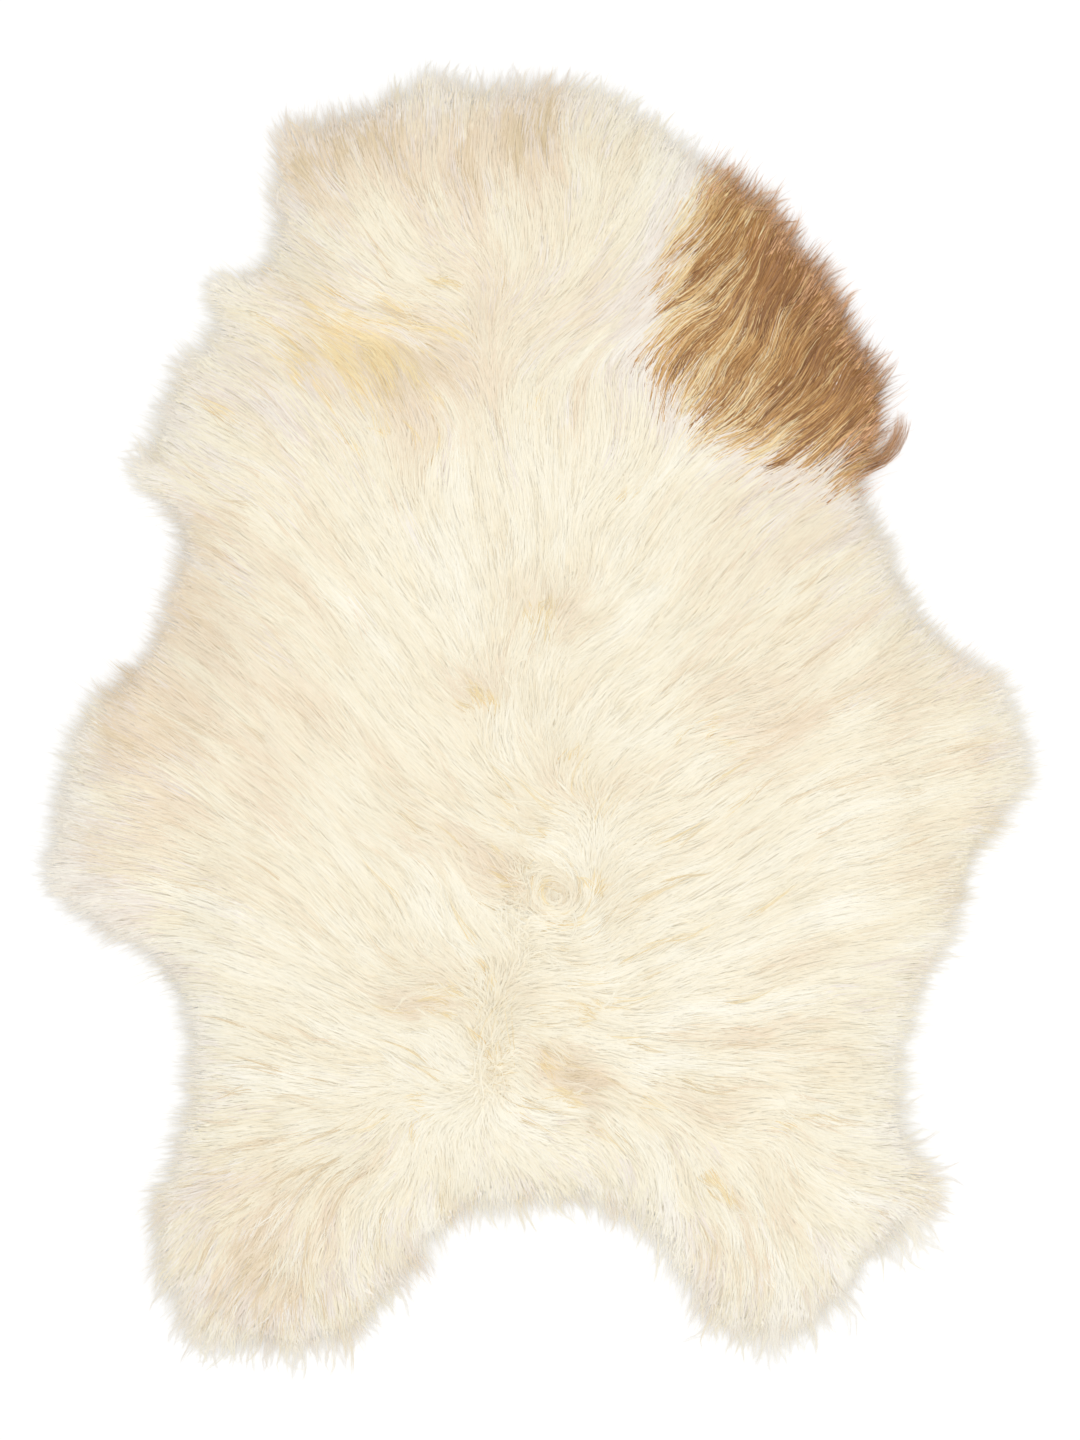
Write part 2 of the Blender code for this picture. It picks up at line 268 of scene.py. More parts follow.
# %% The combing table
ACROSS = (-0.36, -0.27, -0.18, -0.09, 0.0, 0.09, 0.18, 0.27, 0.36)
Comb = namedtuple(
    "Comb",
    "place y length far_left left mid_left near_left spine near_right mid_right right far_right",
)
COMBS = rows_of(Comb, "y length", (
    ("end of the neck", 520, 46, 140, 112, 97, 84, 62, 66, 60, 58, 50),
    ("upper neck", 440, 57, 150, 118, 127, 108, 94, 60, 62, 58, 50),
    ("neck, at the whorl", 375, 64, 168, 178, 145, 128, 48, 42, 44, 50, 50),
    ("below the whorl", 320, 66, 160, 152, 152, 184, 45, 36, 70, 58, 46),
    ("shoulders", 260, 68, 150, 142, 125, 118, 92, 72, 46, 60, 50),
    ("behind the shoulders", 195, 77, 160, 158, 122, 95, 113, 60, 36, 34, 50),
    ("elbows", 120, 77, 142, 150, 134, 122, 80, 62, 52, 34, 54),
    ("front of the flanks", 50, 80, 152, 142, 132, 126, 62, 37, 38, 40, 22),
    ("flanks", -20, 82, 152, 141, 130, 134, 108, 38, 32, 17, 9),
    ("middle of the back", -90, 80, 166, 152, 141, 142, 150, 32, 37, 21, 18),
    ("rear of the flanks", -155, 74, 184, 158, 128, 118, 12, 8, 34, 9, 6),
    ("waist", -220, 74, 182, 167, 148, 138, 8, 18, 20, 8, 12),
    ("loin", -280, 58, 180, 177, 157, 172, -22, -3, -2, 4, 12),
    ("hips", -335, 58, 186, 176, 178, 192, -14, -18, -14, 0, 4),
    ("root of the tail", -380, 56, 206, 196, 206, 262, -42, -62, -82, -12, -14),
    ("thighs", -430, 56, 232, 226, 248, 272, -76, -90, -78, -48, -38),
    ("hind legs", -490, 58, 250, 250, 268, -64, -90, -93, -90, -76, -60),
    ("feet", -550, 56, 252, 256, 262, -80, -90, -94, -92, -88, -70),
))

# %% [markdown]
# A comb this wide misses the small turns. So a second pass makes short strokes with a finer
# one, each at its own place and with its own reach. A stroke pulls harder than the first
# pass did, and beyond its reach the hair still lies as the first pass left it.

# %% Short strokes with a finer comb
Stroke = namedtuple("Stroke", "place x y reach way")
STROKES = rows_of(Stroke, "x y reach", (
    ("neck, above the whorl, right", 0, 465, 22, 102),
    ("neck, above the whorl", -20, 430, 22, 107),
    ("neck, above the whorl, left", -88, 378, 20, 127),
    ("neck, right of the whorl", 2, 402, 16, 80),
    ("neck, below the whorl, right", 15, 330, 24, 34),
    ("left cheek, inner", -160, 295, 18, 121),
    ("left cheek, inner end", -120, 292, 18, 107),
    ("shoulder, middle", 55, 262, 22, 98),
    ("inside the patch's border", 98, 268, 15, 88),
    ("inside the patch's border, lower", 88, 236, 14, 78),
    ("patch, left", 125, 350, 17, 34),
    ("patch, upper middle", 188, 350, 20, 69),
    ("patch, upper", 203, 413, 16, 74),
    ("patch, lower left", 155, 230, 18, 24),
    ("patch, lower", 200, 227, 18, 28),
    ("patch, lower right", 285, 245, 16, 58),
    ("spine, front right", 45, 62, 22, 28),
    ("spine, before the middle", 0, 65, 12, 39),
    ("spine, middle left", -70, 2, 16, 143),
    ("spine, middle right", 35, -5, 14, 44),
    ("behind the middle, left", -15, -38, 16, 147),
    ("behind the middle, right", 36, -38, 14, 46),
    ("above the rear curl, left", -35, -105, 14, 170),
    ("above the rear curl, right", 70, -105, 16, 27),
    ("left side, rear", -105, -105, 18, 154),
    ("left of the rear curl", -36, -142, 14, 178),
    ("right of the rear curl", 68, -142, 14, 5),
    ("right side, rear", 104, -155, 20, 15),
    ("left loin, upper", -104, -158, 20, 110),
    ("below the rear curl, left", -35, -190, 16, 161),
    ("below the rear curl, right", 36, -208, 15, 22),
    ("right loin, upper", 90, -212, 20, 34),
    ("left loin, outer", -104, -245, 18, 155),
    ("left loin, inner", -72, -250, 14, 168),
    ("right loin, inner", 36, -250, 18, -16),
    ("rump, left", -55, -280, 18, 131),
    ("rump, middle", 0, -285, 14, -33),
    ("rump, right", 38, -312, 20, -36),
    ("left hip, above", -104, -300, 16, 122),
    ("left hip, behind", -125, -352, 18, 204),
    ("tail root, right", 36, -352, 16, -49),
    ("left thigh", -150, -384, 22, 206),
    ("left thigh, rear", -182, -432, 22, 264),
    ("left foot, outer", -270, -490, 26, 257),
    ("left foot, inner", -180, -490, 24, 284),
    ("right thigh, inner", 110, -386, 18, -86),
    ("right thigh, outer", 270, -380, 26, -9),
    ("right foot, inner", 92, -490, 20, -74),
))
STROKE_PULL = 2.5
print(len(COMBS), "lines combed and", len(STROKES), "short strokes")

# %% [markdown]
# A whorl is a place that the hair turns round, like the crown of a head. Its turn bends all
# of its hair one way, its swirl sends the hair round the middle, and it has a sink, because
# the wool lies lower there.

# %% Whorls, where the hair turns round and sinks
Whorl = namedtuple("Whorl", "place x y reach turn swirl sink")
WHORLS = rows_of(Whorl, "x y reach sink", (
    ("on the neck", -64, 367, 20, 35, 0.7, 4),
    ("under the left cheek", -130, 318, 28, 20, 0.2, 4),
    ("left shoulder", -90, 222, 20, -35, 0.0, 3),
    ("spine, front", 0, 87, 18, 40, -0.7, 5),
    ("right of the spine", 62, 185, 22, -30, 0.0, 3),
    ("spine, middle", -45, 6, 18, -40, 0.6, 5),
    ("right side", 165, -8, 24, -25, 0.0, 3),
    ("spine, behind the middle", 30, -50, 20, 30, -0.5, 3),
    ("spine, rear curl", 22, -158, 24, 30, 2.4, 3),
    ("beside the rear curl", -18, -128, 18, -50, -0.4, 4),
    ("above the rear curl", 10, -105, 18, 40, 0.3, 3),
    ("right loin", 32, -250, 18, 30, -0.5, 4),
    ("left loin", -78, -243, 24, 30, 0.6, 4),
    ("rump", 10, -312, 24, 20, 0.6, 4),
    ("beside the rump", -55, -290, 20, 30, -0.7, 4),
    ("left hip", -98, -343, 24, 40, 0.8, 3),
    ("right hip", 190, -347, 24, 30, -0.7, 3),
    ("left foot", -235, -490, 26, -35, 0.2, 4),
    ("right foot", 138, -400, 24, 15, 0.2, 4),
))

# %% Turn the tables into fields on the grid
COMB_REACH = 0.040
print(len(WHORLS), "whorls")


def point(east, north, pull, way):
    """Adds a pull to the two parts, pointing the way that is given in degrees."""
    east += pull * math.cos(math.radians(way))
    north += pull * math.sin(math.radians(way))


def comb_fields():
    """East and north parts of the way the hair points, and its length, on the grid."""
    east, north, length, total = (np.zeros_like(top) for _ in range(4))
    for comb in COMBS:
        for x, way in zip(ACROSS, comb[3:]):
            apart = (spots_x - x) ** 2 + (spots_y - comb.y) ** 2
            pull = np.exp(-apart / (2 * COMB_REACH**2)) + 1e-9
            point(east, north, pull, way)
            length += pull * comb.length
            total += pull
    angle = np.arctan2(north, east)
    for whorl in WHORLS:
        angle += math.radians(whorl.turn) * bump_at(whorl, whorl.reach)
    east, north = np.cos(angle), np.sin(angle)
    for stroke in STROKES:
        point(east, north, STROKE_PULL * bump_at(stroke, stroke.reach), stroke.way)
    steady = np.maximum(np.hypot(east, north), 0.3)
    east, north = east / steady, north / steady
    for whorl in WHORLS:
        around = whorl.swirl * bump_at(whorl, whorl.reach) / whorl.reach
        east -= around * (spots_y - whorl.y)
        north += around * (spots_x - whorl.x)
    return east, north, length / total


def speckle(points, size, seed):
    """Smooth noise between about -1 and 1 at each (x, y)."""
    return np.array([noise.noise(Vector((x / size, y / size, seed))) for x, y in points])


def speckle_field(size, seed):
    """The same noise over the whole grid."""
    flat = speckle(np.stack([spots_x.ravel(), spots_y.ravel()], axis=1), size, seed)
    return flat.reshape(top.shape)


east, north, hair_length = comb_fields()

# %% [markdown]
# No combing is perfect. The hair strays a little on the flanks and more along the spine. In
# the brown patch it is longer, and slow waves run through it. At the rim it turns outward.

# %% Ruffled along the spine, smooth on the flanks
SMOOTH_STRAY = math.radians(7)
RUFFLED_STRAY = math.radians(20)
SPINE_X, SPINE_SPREAD, SPINE_FROM, SPINE_TO = 0.01, 0.065, -0.42, 0.14

across_spine = np.exp(-((spots_x - SPINE_X) ** 2) / (2 * SPINE_SPREAD**2))
in_spine = across_spine * (spots_y < SPINE_TO) * (spots_y > SPINE_FROM)
on_legs = np.clip((-0.36 - spots_y) / 0.06, 0, 1)
on_neck = np.clip((spots_y - 0.36) / 0.08, 0, 1)
ruffled = np.clip(blur(in_spine, 0.02) + 0.35 * on_legs + 0.05 * on_neck, 0, 1)
stray = (SMOOTH_STRAY + (RUFFLED_STRAY - SMOOTH_STRAY) * ruffled) * (
    1.2 * speckle_field(0.060, 3.1) + 0.8 * speckle_field(0.030, 8.7)
)

# %% Slow waves in the brown patch
PATCH_MIDDLE = (0.205, 0.320)
PATCH_REACH = 0.085
PATCH_WAVE = math.radians(11)
PATCH_WAVE_LENGTH = 0.060
PATCH_LIES = math.radians(52)

along_patch = spots_x * math.cos(PATCH_LIES) + spots_y * math.sin(PATCH_LIES)
wave = np.sin(2 * math.pi * along_patch / PATCH_WAVE_LENGTH + 2.2 * speckle_field(0.045, 14.2))
from_middle = (spots_x - PATCH_MIDDLE[0]) ** 2 + (spots_y - PATCH_MIDDLE[1]) ** 2
stray = stray + PATCH_WAVE * wave * np.exp(-from_middle / (2 * PATCH_REACH**2))
print("the hair strays by up to", round(math.degrees(abs(stray).max())), "degrees")

# %% Outward at the rim
OUTWARD_PULL = 0.55
OUTWARD_BAND = 0.035

slope_y, slope_x = np.gradient(blur(rim, 0.008), CELL)
steep = np.maximum(np.hypot(slope_x, slope_y), 0.3)
near_rim = OUTWARD_PULL * np.clip(1 - rim / OUTWARD_BAND, 0, 1)
east, north = (
    east * np.cos(stray) - north * np.sin(stray) - near_rim * slope_x / steep,
    east * np.sin(stray) + north * np.cos(stray) - near_rim * slope_y / steep,
)
steady = np.hypot(east, north) + 1e-6
east, north = east / steady, north / steady

# %% Sunken whorls, a lumpy top, and where the hair parts
for whorl in WHORLS:
    lie -= 0.6 * whorl.sink * bump_at(whorl, whorl.reach * 0.7) * (rim > 0)
lie += (0.0008 + 0.0012 * ruffled) * speckle_field(0.026, 5.5) * np.clip(rim / 0.02, 0, 1)
lie = np.maximum(lie, LEAST_HEIGHT)
leaving = np.gradient(east, CELL, axis=1) + np.gradient(north, CELL, axis=0)
parting = np.clip(leaving * 0.05, 0, 2)
print("the hair parts over", round((parting > 0.35).sum() * CELL * CELL, 3), "m2")

# %% [markdown]
# A long fleece shows soft bands, because neighbouring locks share a shade and lie in line.
# Plain noise would give clouds instead. So the noise is drawn out along the combing: each
# point of the grid adds up the noise on the line of hair that passes through it.

# %% Streaks that follow the hair
STREAK_STEP = 0.005


def streaks(size, length, seed):
    """Noise drawn out along the combing, like the soft bands that one sees in a long fleece."""
    grain = speckle_field(size, seed)
    total = grain.copy()
    start = np.stack([spots_x, spots_y], axis=-1)
    steps = int(length / 2 / STREAK_STEP)
    for side in (-1, 1):
        here = start
        for _ in range(steps):
            way = np.stack([read(east, here), read(north, here)], axis=-1)
            here = here + side * STREAK_STEP * way
            total = total + read(grain, here)
    return total / total.std()


clumps = speckle_field(0.024, 23.0)
fine_streak = streaks(0.007, 0.070, 11.3)
broad_streak = streaks(0.020, 0.150, 17.9)
print("fields made in", round(time.time() - clock, 1), "s")

# %% [markdown]
# ## Colour that each hair carries along
# No two hairs of a fleece have the same colour. Most are cream, some nearly white, some
# beige, and the patch by the neck is golden brown with darker hairs. Along one hair the
# colour also changes, from a deeper root to a paler tip. So the colours are kept on a
# small chart, which every hair reads through its UV map: U picks the kind of hair and V
# runs from root to tip. One material then serves the whole fleece.

# %% The colour chart
Shade = namedtuple("Shade", "kind u tip root")
SHADES = rows_of(Shade, "", (
    ("ash", 0.00, (236, 224, 209), (223, 208, 191)),
    ("ash white", 0.06, (243, 237, 228), (233, 222, 208)),
    ("white", 0.12, (252, 249, 240), (243, 236, 217)),
    ("ivory", 0.22, (248, 244, 229), (240, 231, 208)),
    ("cream", 0.33, (244, 237, 216), (235, 222, 193)),
    ("rosy beige", 0.44, (239, 224, 201), (228, 208, 179)),
    ("sand", 0.50, (232, 215, 184), (216, 195, 158)),
    ("khaki", 0.55, (225, 208, 175), (208, 186, 146)),
    ("straw", 0.61, (246, 229, 184), (234, 212, 163)),
    ("pale gold", 0.66, (235, 203, 147), (206, 164, 103)),
    ("golden tan", 0.74, (221, 173, 107), (158, 107, 54)),
    ("brown", 0.83, (192, 138, 80), (108, 66, 30)),
    ("dark brown", 0.91, (164, 109, 58), (78, 46, 22)),
    ("fox", 1.00, (245, 202, 160), (216, 162, 114)),
))
BROWN_FROM = 0.62
print(len(SHADES), "shades, brown ones from U =", BROWN_FROM)

# %% Screen colours in a colour ramp
def linear(value):
    """One channel of a screen colour, 0 to 255, as the linear value that shaders take."""
    share = value / 255
    return share / 12.92 if share <= 0.04045 else ((share + 0.055) / 1.055) ** 2.4


def fill_ramp(node, stops):
    """Sets a ColorRamp's stops to (position, screen colour) pairs."""
    ramp = node.color_ramp
    while len(ramp.elements) < len(stops):
        ramp.elements.new(0.5)
    for element, (position, colour) in zip(ramp.elements, stops):
        element.position = position
        element.color = (*map(linear, colour), 1.0)


# %% A helper that starts a material
Finish = namedtuple("Finish", "material shader add link roughen")


def new_material(name):
    """A material with its Principled shader, and helpers that add, link and roughen."""
    material = bpy.data.materials.new(name)
    material.use_nodes = True
    tree = material.node_tree
    shader = tree.nodes["Principled BSDF"]
    link = tree.links.new

    def add(kind, **settings):
        """A new node. A setting with a capital letter is the value of one of its inputs."""
        node = tree.nodes.new("ShaderNode" + kind)
        for key, value in settings.items():
            if key[0].isupper():
                node.inputs[key.replace("_", " ")].default_value = value
            else:
                setattr(node, key, value)
        return node

    def roughen(scale, detail, strength, distance):
        """A fine bump from noise on Object coordinates. It gives back the noise."""
        grain = add("TexNoise", Scale=scale, Detail=detail)
        bump = add("Bump", Strength=strength, Distance=distance)
        link(add("TexCoord").outputs["Object"], grain.inputs["Vector"])
        link(grain.outputs["Fac"], bump.inputs["Height"])
        link(bump.outputs["Normal"], shader.inputs["Normal"])
        return grain

    return Finish(material, shader, add, link, roughen)


# %% Wool
def wool_material(roughness, sheen):
    """Soft wool whose colour comes from the chart, with a fine uneven surface."""
    material, shader, add, link, roughen = new_material("wool")
    parts = add("SeparateXYZ")
    blend = add("Mix", data_type="RGBA")
    link(add("UVMap", uv_map="OFBake").outputs["UV"], parts.inputs[0])
    link(parts.outputs["Y"], blend.inputs["Factor"])
    for end, socket in (("root", "A"), ("tip", "B")):
        ramp = add("ValToRGB")
        fill_ramp(ramp, [(shade.u, getattr(shade, end)) for shade in SHADES])
        link(parts.outputs["X"], ramp.inputs["Fac"])
        link(ramp.outputs["Color"], blend.inputs[socket])
    link(blend.outputs["Result"], shader.inputs["Base Color"])
    grain = roughen(scale=900.0, detail=2.0, strength=0.12, distance=0.0002)
    spread = add("MapRange", To_Min=roughness - 0.08, To_Max=roughness + 0.08)
    link(grain.outputs["Fac"], spread.inputs["Value"])
    link(spread.outputs["Result"], shader.inputs["Roughness"])
    shader.inputs["Specular IOR Level"].default_value = 0.35
    shader.inputs["Sheen Weight"].default_value = sheen
    shader.inputs["Sheen Roughness"].default_value = 0.5
    return material


wool = wool_material(roughness=0.55, sheen=0.15)

# %% The brown patch
PATCH_OUTLINE = (
    (146, 520), (215, 480), (345, 340), (360, 235), (290, 196), (240, 182), (195, 186),
    (140, 204), (97, 238), (73, 286), (73, 342), (100, 395), (130, 440),
)


def inside_loop(points, loop):
    """Which points lie inside the closed loop, by the crossings of a ray towards +X."""
    ends = np.roll(loop, -1, axis=0)
    x, y = points[..., 0, None], points[..., 1, None]
    spans = (loop[:, 1] > y) != (ends[:, 1] > y)
    rise = np.where(ends[:, 1] == loop[:, 1], 1.0, ends[:, 1] - loop[:, 1])
    crossing = loop[:, 0] + (y - loop[:, 1]) / rise * (ends[:, 0] - loop[:, 0])
    return (spans & (crossing > x)).sum(axis=-1) % 2 == 1


outline = np.array(PATCH_OUTLINE) / 1000
patch_mask = inside_loop(np.stack([spots_x, spots_y], axis=-1), outline).astype(float)
patch, patch_depth = blur(patch_mask, 0.014), blur(patch_mask, 0.028)
print("brown patch", round((patch_mask * on_pelt).sum() * CELL * CELL, 4), "m2")

# %% [markdown]
# ## One hair, copied along every path
# A hair is modelled once, as a flat blade that a grid operator makes: one face wide, a few
# faces long, its last two points merged into a tip. Its points hold only two numbers, how
# far along and how far across. The arrays then say where along and across are for each of
# the thousands of hairs, and all the copies of a piece are joined in one mesh.

# %% The blade
Blade = namedtuple("Blade", "segments along across faces")


def make_blade(segments):
    """A unit blade along +Y: shares along and across of its points, and its faces."""
    shape = bmesh.new()
    bmesh.ops.create_grid(shape, x_segments=1, y_segments=segments, size=0.5)
    bmesh.ops.translate(shape, verts=shape.verts, vec=(0, 0.5, 0))
    tip = [corner for corner in shape.verts if corner.co.y > 1 - 1e-6]
    bmesh.ops.pointmerge(shape, verts=tip, merge_co=(0, 1, 0))
    shape.verts.index_update()
    shape.normal_update()
    if shape.faces[:][0].normal.z < 0:
        bmesh.ops.reverse_faces(shape, faces=shape.faces)
    along = np.array([corner.co.y for corner in shape.verts])
    across = np.array([corner.co.x for corner in shape.verts])
    faces = [[corner.index for corner in face.verts] for face in shape.faces]
    shape.free()
    return Blade(segments, along, across, faces)


felt_blade, wide_blade, hair_blade, long_blade, curl_blade = map(make_blade, (2, 3, 4, 5, 7))
print("faces of a hair", len(hair_blade.faces), "and of a curl", len(curl_blade.faces))

# %% Walk a path for each hair
WAVE_LENGTH = 0.048
SMALL_STEPS = 2


def walk(roots, length, aim, turn, swing, phase, steps):
    """Points of each hair seen from above: it follows the combing, waving and turning."""
    here = roots.copy()
    path = [here]
    small = (length / (steps * SMALL_STEPS))[:, None]
    for step in range(steps * SMALL_STEPS):
        share = (step + 0.5) / (steps * SMALL_STEPS)
        heading = np.arctan2(read(north, here), read(east, here))
        heading += aim * (1 - share) + turn * share**1.5
        heading += swing * np.sin(phase + 2 * math.pi * share * length / WAVE_LENGTH)
        here = here + small * np.stack([np.cos(heading), np.sin(heading)], axis=1)
        if step % SMALL_STEPS == SMALL_STEPS - 1:
            path.append(here)
    return np.stack(path, axis=1)


def reach_over_rim(path, length, reach):
    """Each hair's length, cut so that its tip ends no further past the rim than its reach."""
    steps = path.shape[1] - 1
    left = read(rim, path) + reach[:, None]
    beyond = left < 0
    first = np.maximum(np.where(beyond.any(axis=1), beyond.argmax(axis=1), steps), 1)
    hair = np.arange(len(path))
    before, after = left[hair, first - 1], left[hair, first]
    part = np.where(after < 0, before / np.maximum(before - after, 1e-6), 1.0)
    return length * np.clip((first - 1 + np.clip(part, 0, 1)) / steps, 0.15, 1)


# %% Lay a blade along every path
ROLL_WAVE = 0.15
HAIR_CLEAR = 0.0004


def smooth_share(value):
    """0 to 1 with soft ends."""
    value = np.clip(value, 0, 1)
    return value * value * (3 - 2 * value)


def blade_points(path, blade, width, roll):
    """The blade's points along each path, which is hairs x steps x 3. The rest is per hair."""
    steps = path.shape[1] - 1
    at = np.rint(blade.along * steps).astype(int)
    way = path[:, np.minimum(at + 1, steps)] - path[:, np.maximum(at - 1, 0)]
    way /= np.linalg.norm(way, axis=2, keepdims=True) + 1e-12
    side = np.cross(way, np.array([0, 0, 1.0]))
    side /= np.linalg.norm(side, axis=2, keepdims=True) + 1e-12
    rise = np.cross(side, way)
    turned = roll[:, None] + ROLL_WAVE * np.sin(3 * blade.along + 9 * roll[:, None])
    across = np.cos(turned)[..., None] * side + np.sin(turned)[..., None] * rise
    belly = 0.75 + 0.25 * np.sin(math.pi * np.clip(blade.along * 1.6, 0, 1))
    taper = belly * (1 - 0.6 * blade.along**1.5)
    points = path[:, at] + (blade.across * taper)[None, :, None] * width[:, None, None] * across
    points[..., 2] = np.maximum(points[..., 2], HAIR_CLEAR)
    return points


# %% Join the blades into one piece of the rug
BROWN_PALING, CREAM_PALING = 1.7, 0.7


def add_piece(name, mesh, material):
    """A piece with this mesh, which rides on the rug's one body. The solid is hidden."""
    mesh.shade_smooth()
    mesh.materials.append(material)
    piece = bpy.data.objects.new(name, mesh)
    bpy.context.scene.collection.objects.link(piece)
    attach(piece, "root")
    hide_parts("sheepskin")
    return piece


def join_hairs(name, points, blade, kind, dark):
    """One piece of all the blades, with each hair's place on the colour chart in its UV map."""
    count, size = points.shape[:2]
    corners = np.concatenate([np.array(face) for face in blade.faces])
    sides = np.array([len(face) for face in blade.faces])
    all_corners = (corners[None, :] + size * np.arange(count)[:, None]).ravel()
    starts = np.concatenate([[0], np.cumsum(np.tile(sides, count))[:-1]])
    mesh = bpy.data.meshes.new(name)
    mesh.vertices.add(count * size)
    mesh.vertices.foreach_set("co", points.astype(np.float32).ravel())
    mesh.loops.add(len(all_corners))
    mesh.loops.foreach_set("vertex_index", all_corners.astype(np.int32))
    mesh.polygons.add(len(starts))
    mesh.polygons.foreach_set("loop_start", starts.astype(np.int32))
    mesh.update(calc_edges=True)
    chart = mesh.uv_layers.new(name="OFBake")
    u = np.broadcast_to(kind[:, None], (count, size))
    paling = np.where(kind > BROWN_FROM, BROWN_PALING, CREAM_PALING)[:, None]
    # dark moves V towards the root colour; besides the hairs' own spread it carries the painted shade on low
    # locks.
    v = np.clip(0.04 + 0.92 * blade.along[None, :] ** paling - dark[:, None], 0.02, 0.98)
    both = np.stack([u, v], axis=-1).reshape(-1, 2)[all_corners]
    chart.data.foreach_set("uv", both.astype(np.float32).ravel())
    print(name, count, "hairs,", count * (sides - 2).sum(), "triangles")
    return add_piece(name, mesh, wool)


# %% [markdown]
# ## Locks
# Wool does not stand hair by hair. Neighbouring hairs cling together in locks, wide at the
# root and drawn to a point, and each lock lies over the root of the next. Each lock gets
# its own length, bend, wave, height and colour, and the hairs of a lock start as
# neighbours and lean towards its middle line as they near the tip.

# %% Scatter the roots of the locks
def scatter(step, jitter, least_rim):
    """Points on a shaken triangular grid over the pelt, at least least_rim inside the rim."""
    ys = np.arange(low[1], high[1], step * math.sqrt(3) / 2)
    xs = np.arange(low[0], high[0], step)
    points = np.array([(x + (row % 2) * step / 2, y) for row, y in enumerate(ys) for x in xs])
    points = points + rng.uniform(-jitter, jitter, points.shape) * step
    return points[read(rim, points) > least_rim]


# %% How brown the fleece is
def brown_share(points):
    """How brown the fleece is at each point: 0 to 1, rising over the patch's soft border."""
    return read(patch, points)


def deep_share(points):
    """0 at the brown patch's border and 1 well inside it."""
    return np.clip((read(patch_depth, points) - 0.35) / 0.45, 0, 1)

# %% [markdown]
# The cream is not even either. It deepens in soft clouds, is ashen near the rim and beside
# the brown patch, and turns yellow under the left cheek. Some clouds are painted shade: a
# darker band along each fold of the flaps, with painted light just outside it, and a darker
# band along the top rim of the neck. Near the rim the hair is also a little whiter, partly
# its own ash colour and partly painted light on the hair that droops over the rim. What one
# sees of a hair is mostly its outer half, some 5 cm from its root. So each cloud is put at
# the roots, that far back along the hair from the place where it shows.

# %% Clouds of deeper cream, and painted shade at the flap folds and the top rim
Tint = namedtuple("Tint", "place x y reach shift")


def clouds(spots):
    """The shifts of all the spots, added up over the grid."""
    return sum(spot.shift * bump_at(spot, spot.reach) for spot in spots)


CREAM_CLOUDS_AND_PAINTED_SHADE = rows_of(Tint, "x y reach", (
    ("whole neck", -90, 430, 110, 0.03),
    # The top rim rows paint a band of shade along the top of the neck.
    ("top rim, left", -158, 474, 34, 0.23),
    ("top rim, middle", -5, 484, 34, 0.20),
    ("top rim, between", -90, 465, 30, 0.05),
    ("left corner of the neck", -200, 452, 30, 0.08),
    ("neck, middle", -10, 390, 55, 0.08),
    ("under the left cheek", -158, 288, 24, 0.06),
    ("under the left cheek, inner", -108, 276, 26, 0.08),
    ("left shoulder, upper", -180, 340, 50, 0.06),
    ("left elbow", -280, 130, 35, 0.10),
    ("left flank", -250, 20, 90, 0.11),
    # The flap fold rows are painted shade along each fold; the rows outside the folds are painted light.
    ("left flap fold, front", -336, 30, 19, 0.17),
    ("left flap fold", -336, -22, 22, 0.16),
    ("inside the left flap fold", -288, -45, 24, 0.14),
    ("inside the left flap fold, rear", -285, -105, 22, 0.08),
    ("left flap fold, middle", -338, -55, 19, 0.12),
    ("left flap fold, rear", -335, -110, 19, 0.10),
    ("left flap, outside the fold", -385, -65, 34, -0.12),
    ("right flap fold, front", 338, 50, 19, 0.08),
    ("right flap fold", 340, 5, 19, 0.05),
    ("right flap fold, rear", 344, -45, 19, 0.08),
    ("right flap, outside the fold", 385, 0, 30, -0.04),
    ("right flank", 270, -10, 70, 0.07),
    ("left thigh", -265, -400, 55, 0.09),
    ("left foot", -240, -500, 35, 0.05),
    ("spine, front", 3, 72, 20, 0.15),
    ("spine, middle", -45, 8, 16, 0.12),
    ("right side", 170, -22, 28, 0.09),
    ("left loin", -82, -245, 26, 0.15),
    ("left loin, outer", -150, -235, 35, 0.05),
    ("rump", 0, -290, 18, 0.16),
    ("right rump", 145, -278, 45, 0.08),
    ("left thigh, upper", -175, -375, 45, 0.08),
    ("right thigh, inner", 138, -405, 30, 0.09),
    ("below the left cheek, inner", -90, 255, 36, 0.08),
    ("rump, rear", 16, -326, 14, 0.16),
    ("left thigh, rear", -300, -480, 30, 0.06),
    ("below the brown patch", 225, 150, 40, 0.07),
    ("behind the neck", -50, 260, 70, 0.09),
    ("rear of the spine", -20, -155, 50, 0.08),
    ("left side", -185, -80, 50, 0.09),
    ("left side, front", -120, 95, 55, 0.05),
    ("left side, rear", -100, -130, 35, 0.08),
    ("right side, front", 180, 90, 110, 0.07),
    ("left leg", -240, -470, 60, 0.05),
))
cream_depth_and_shade = clouds(CREAM_CLOUDS_AND_PAINTED_SHADE) + 0.07 * speckle_field(0.12, 1.3) + 0.05 * speckle_field(0.05, 2.9)

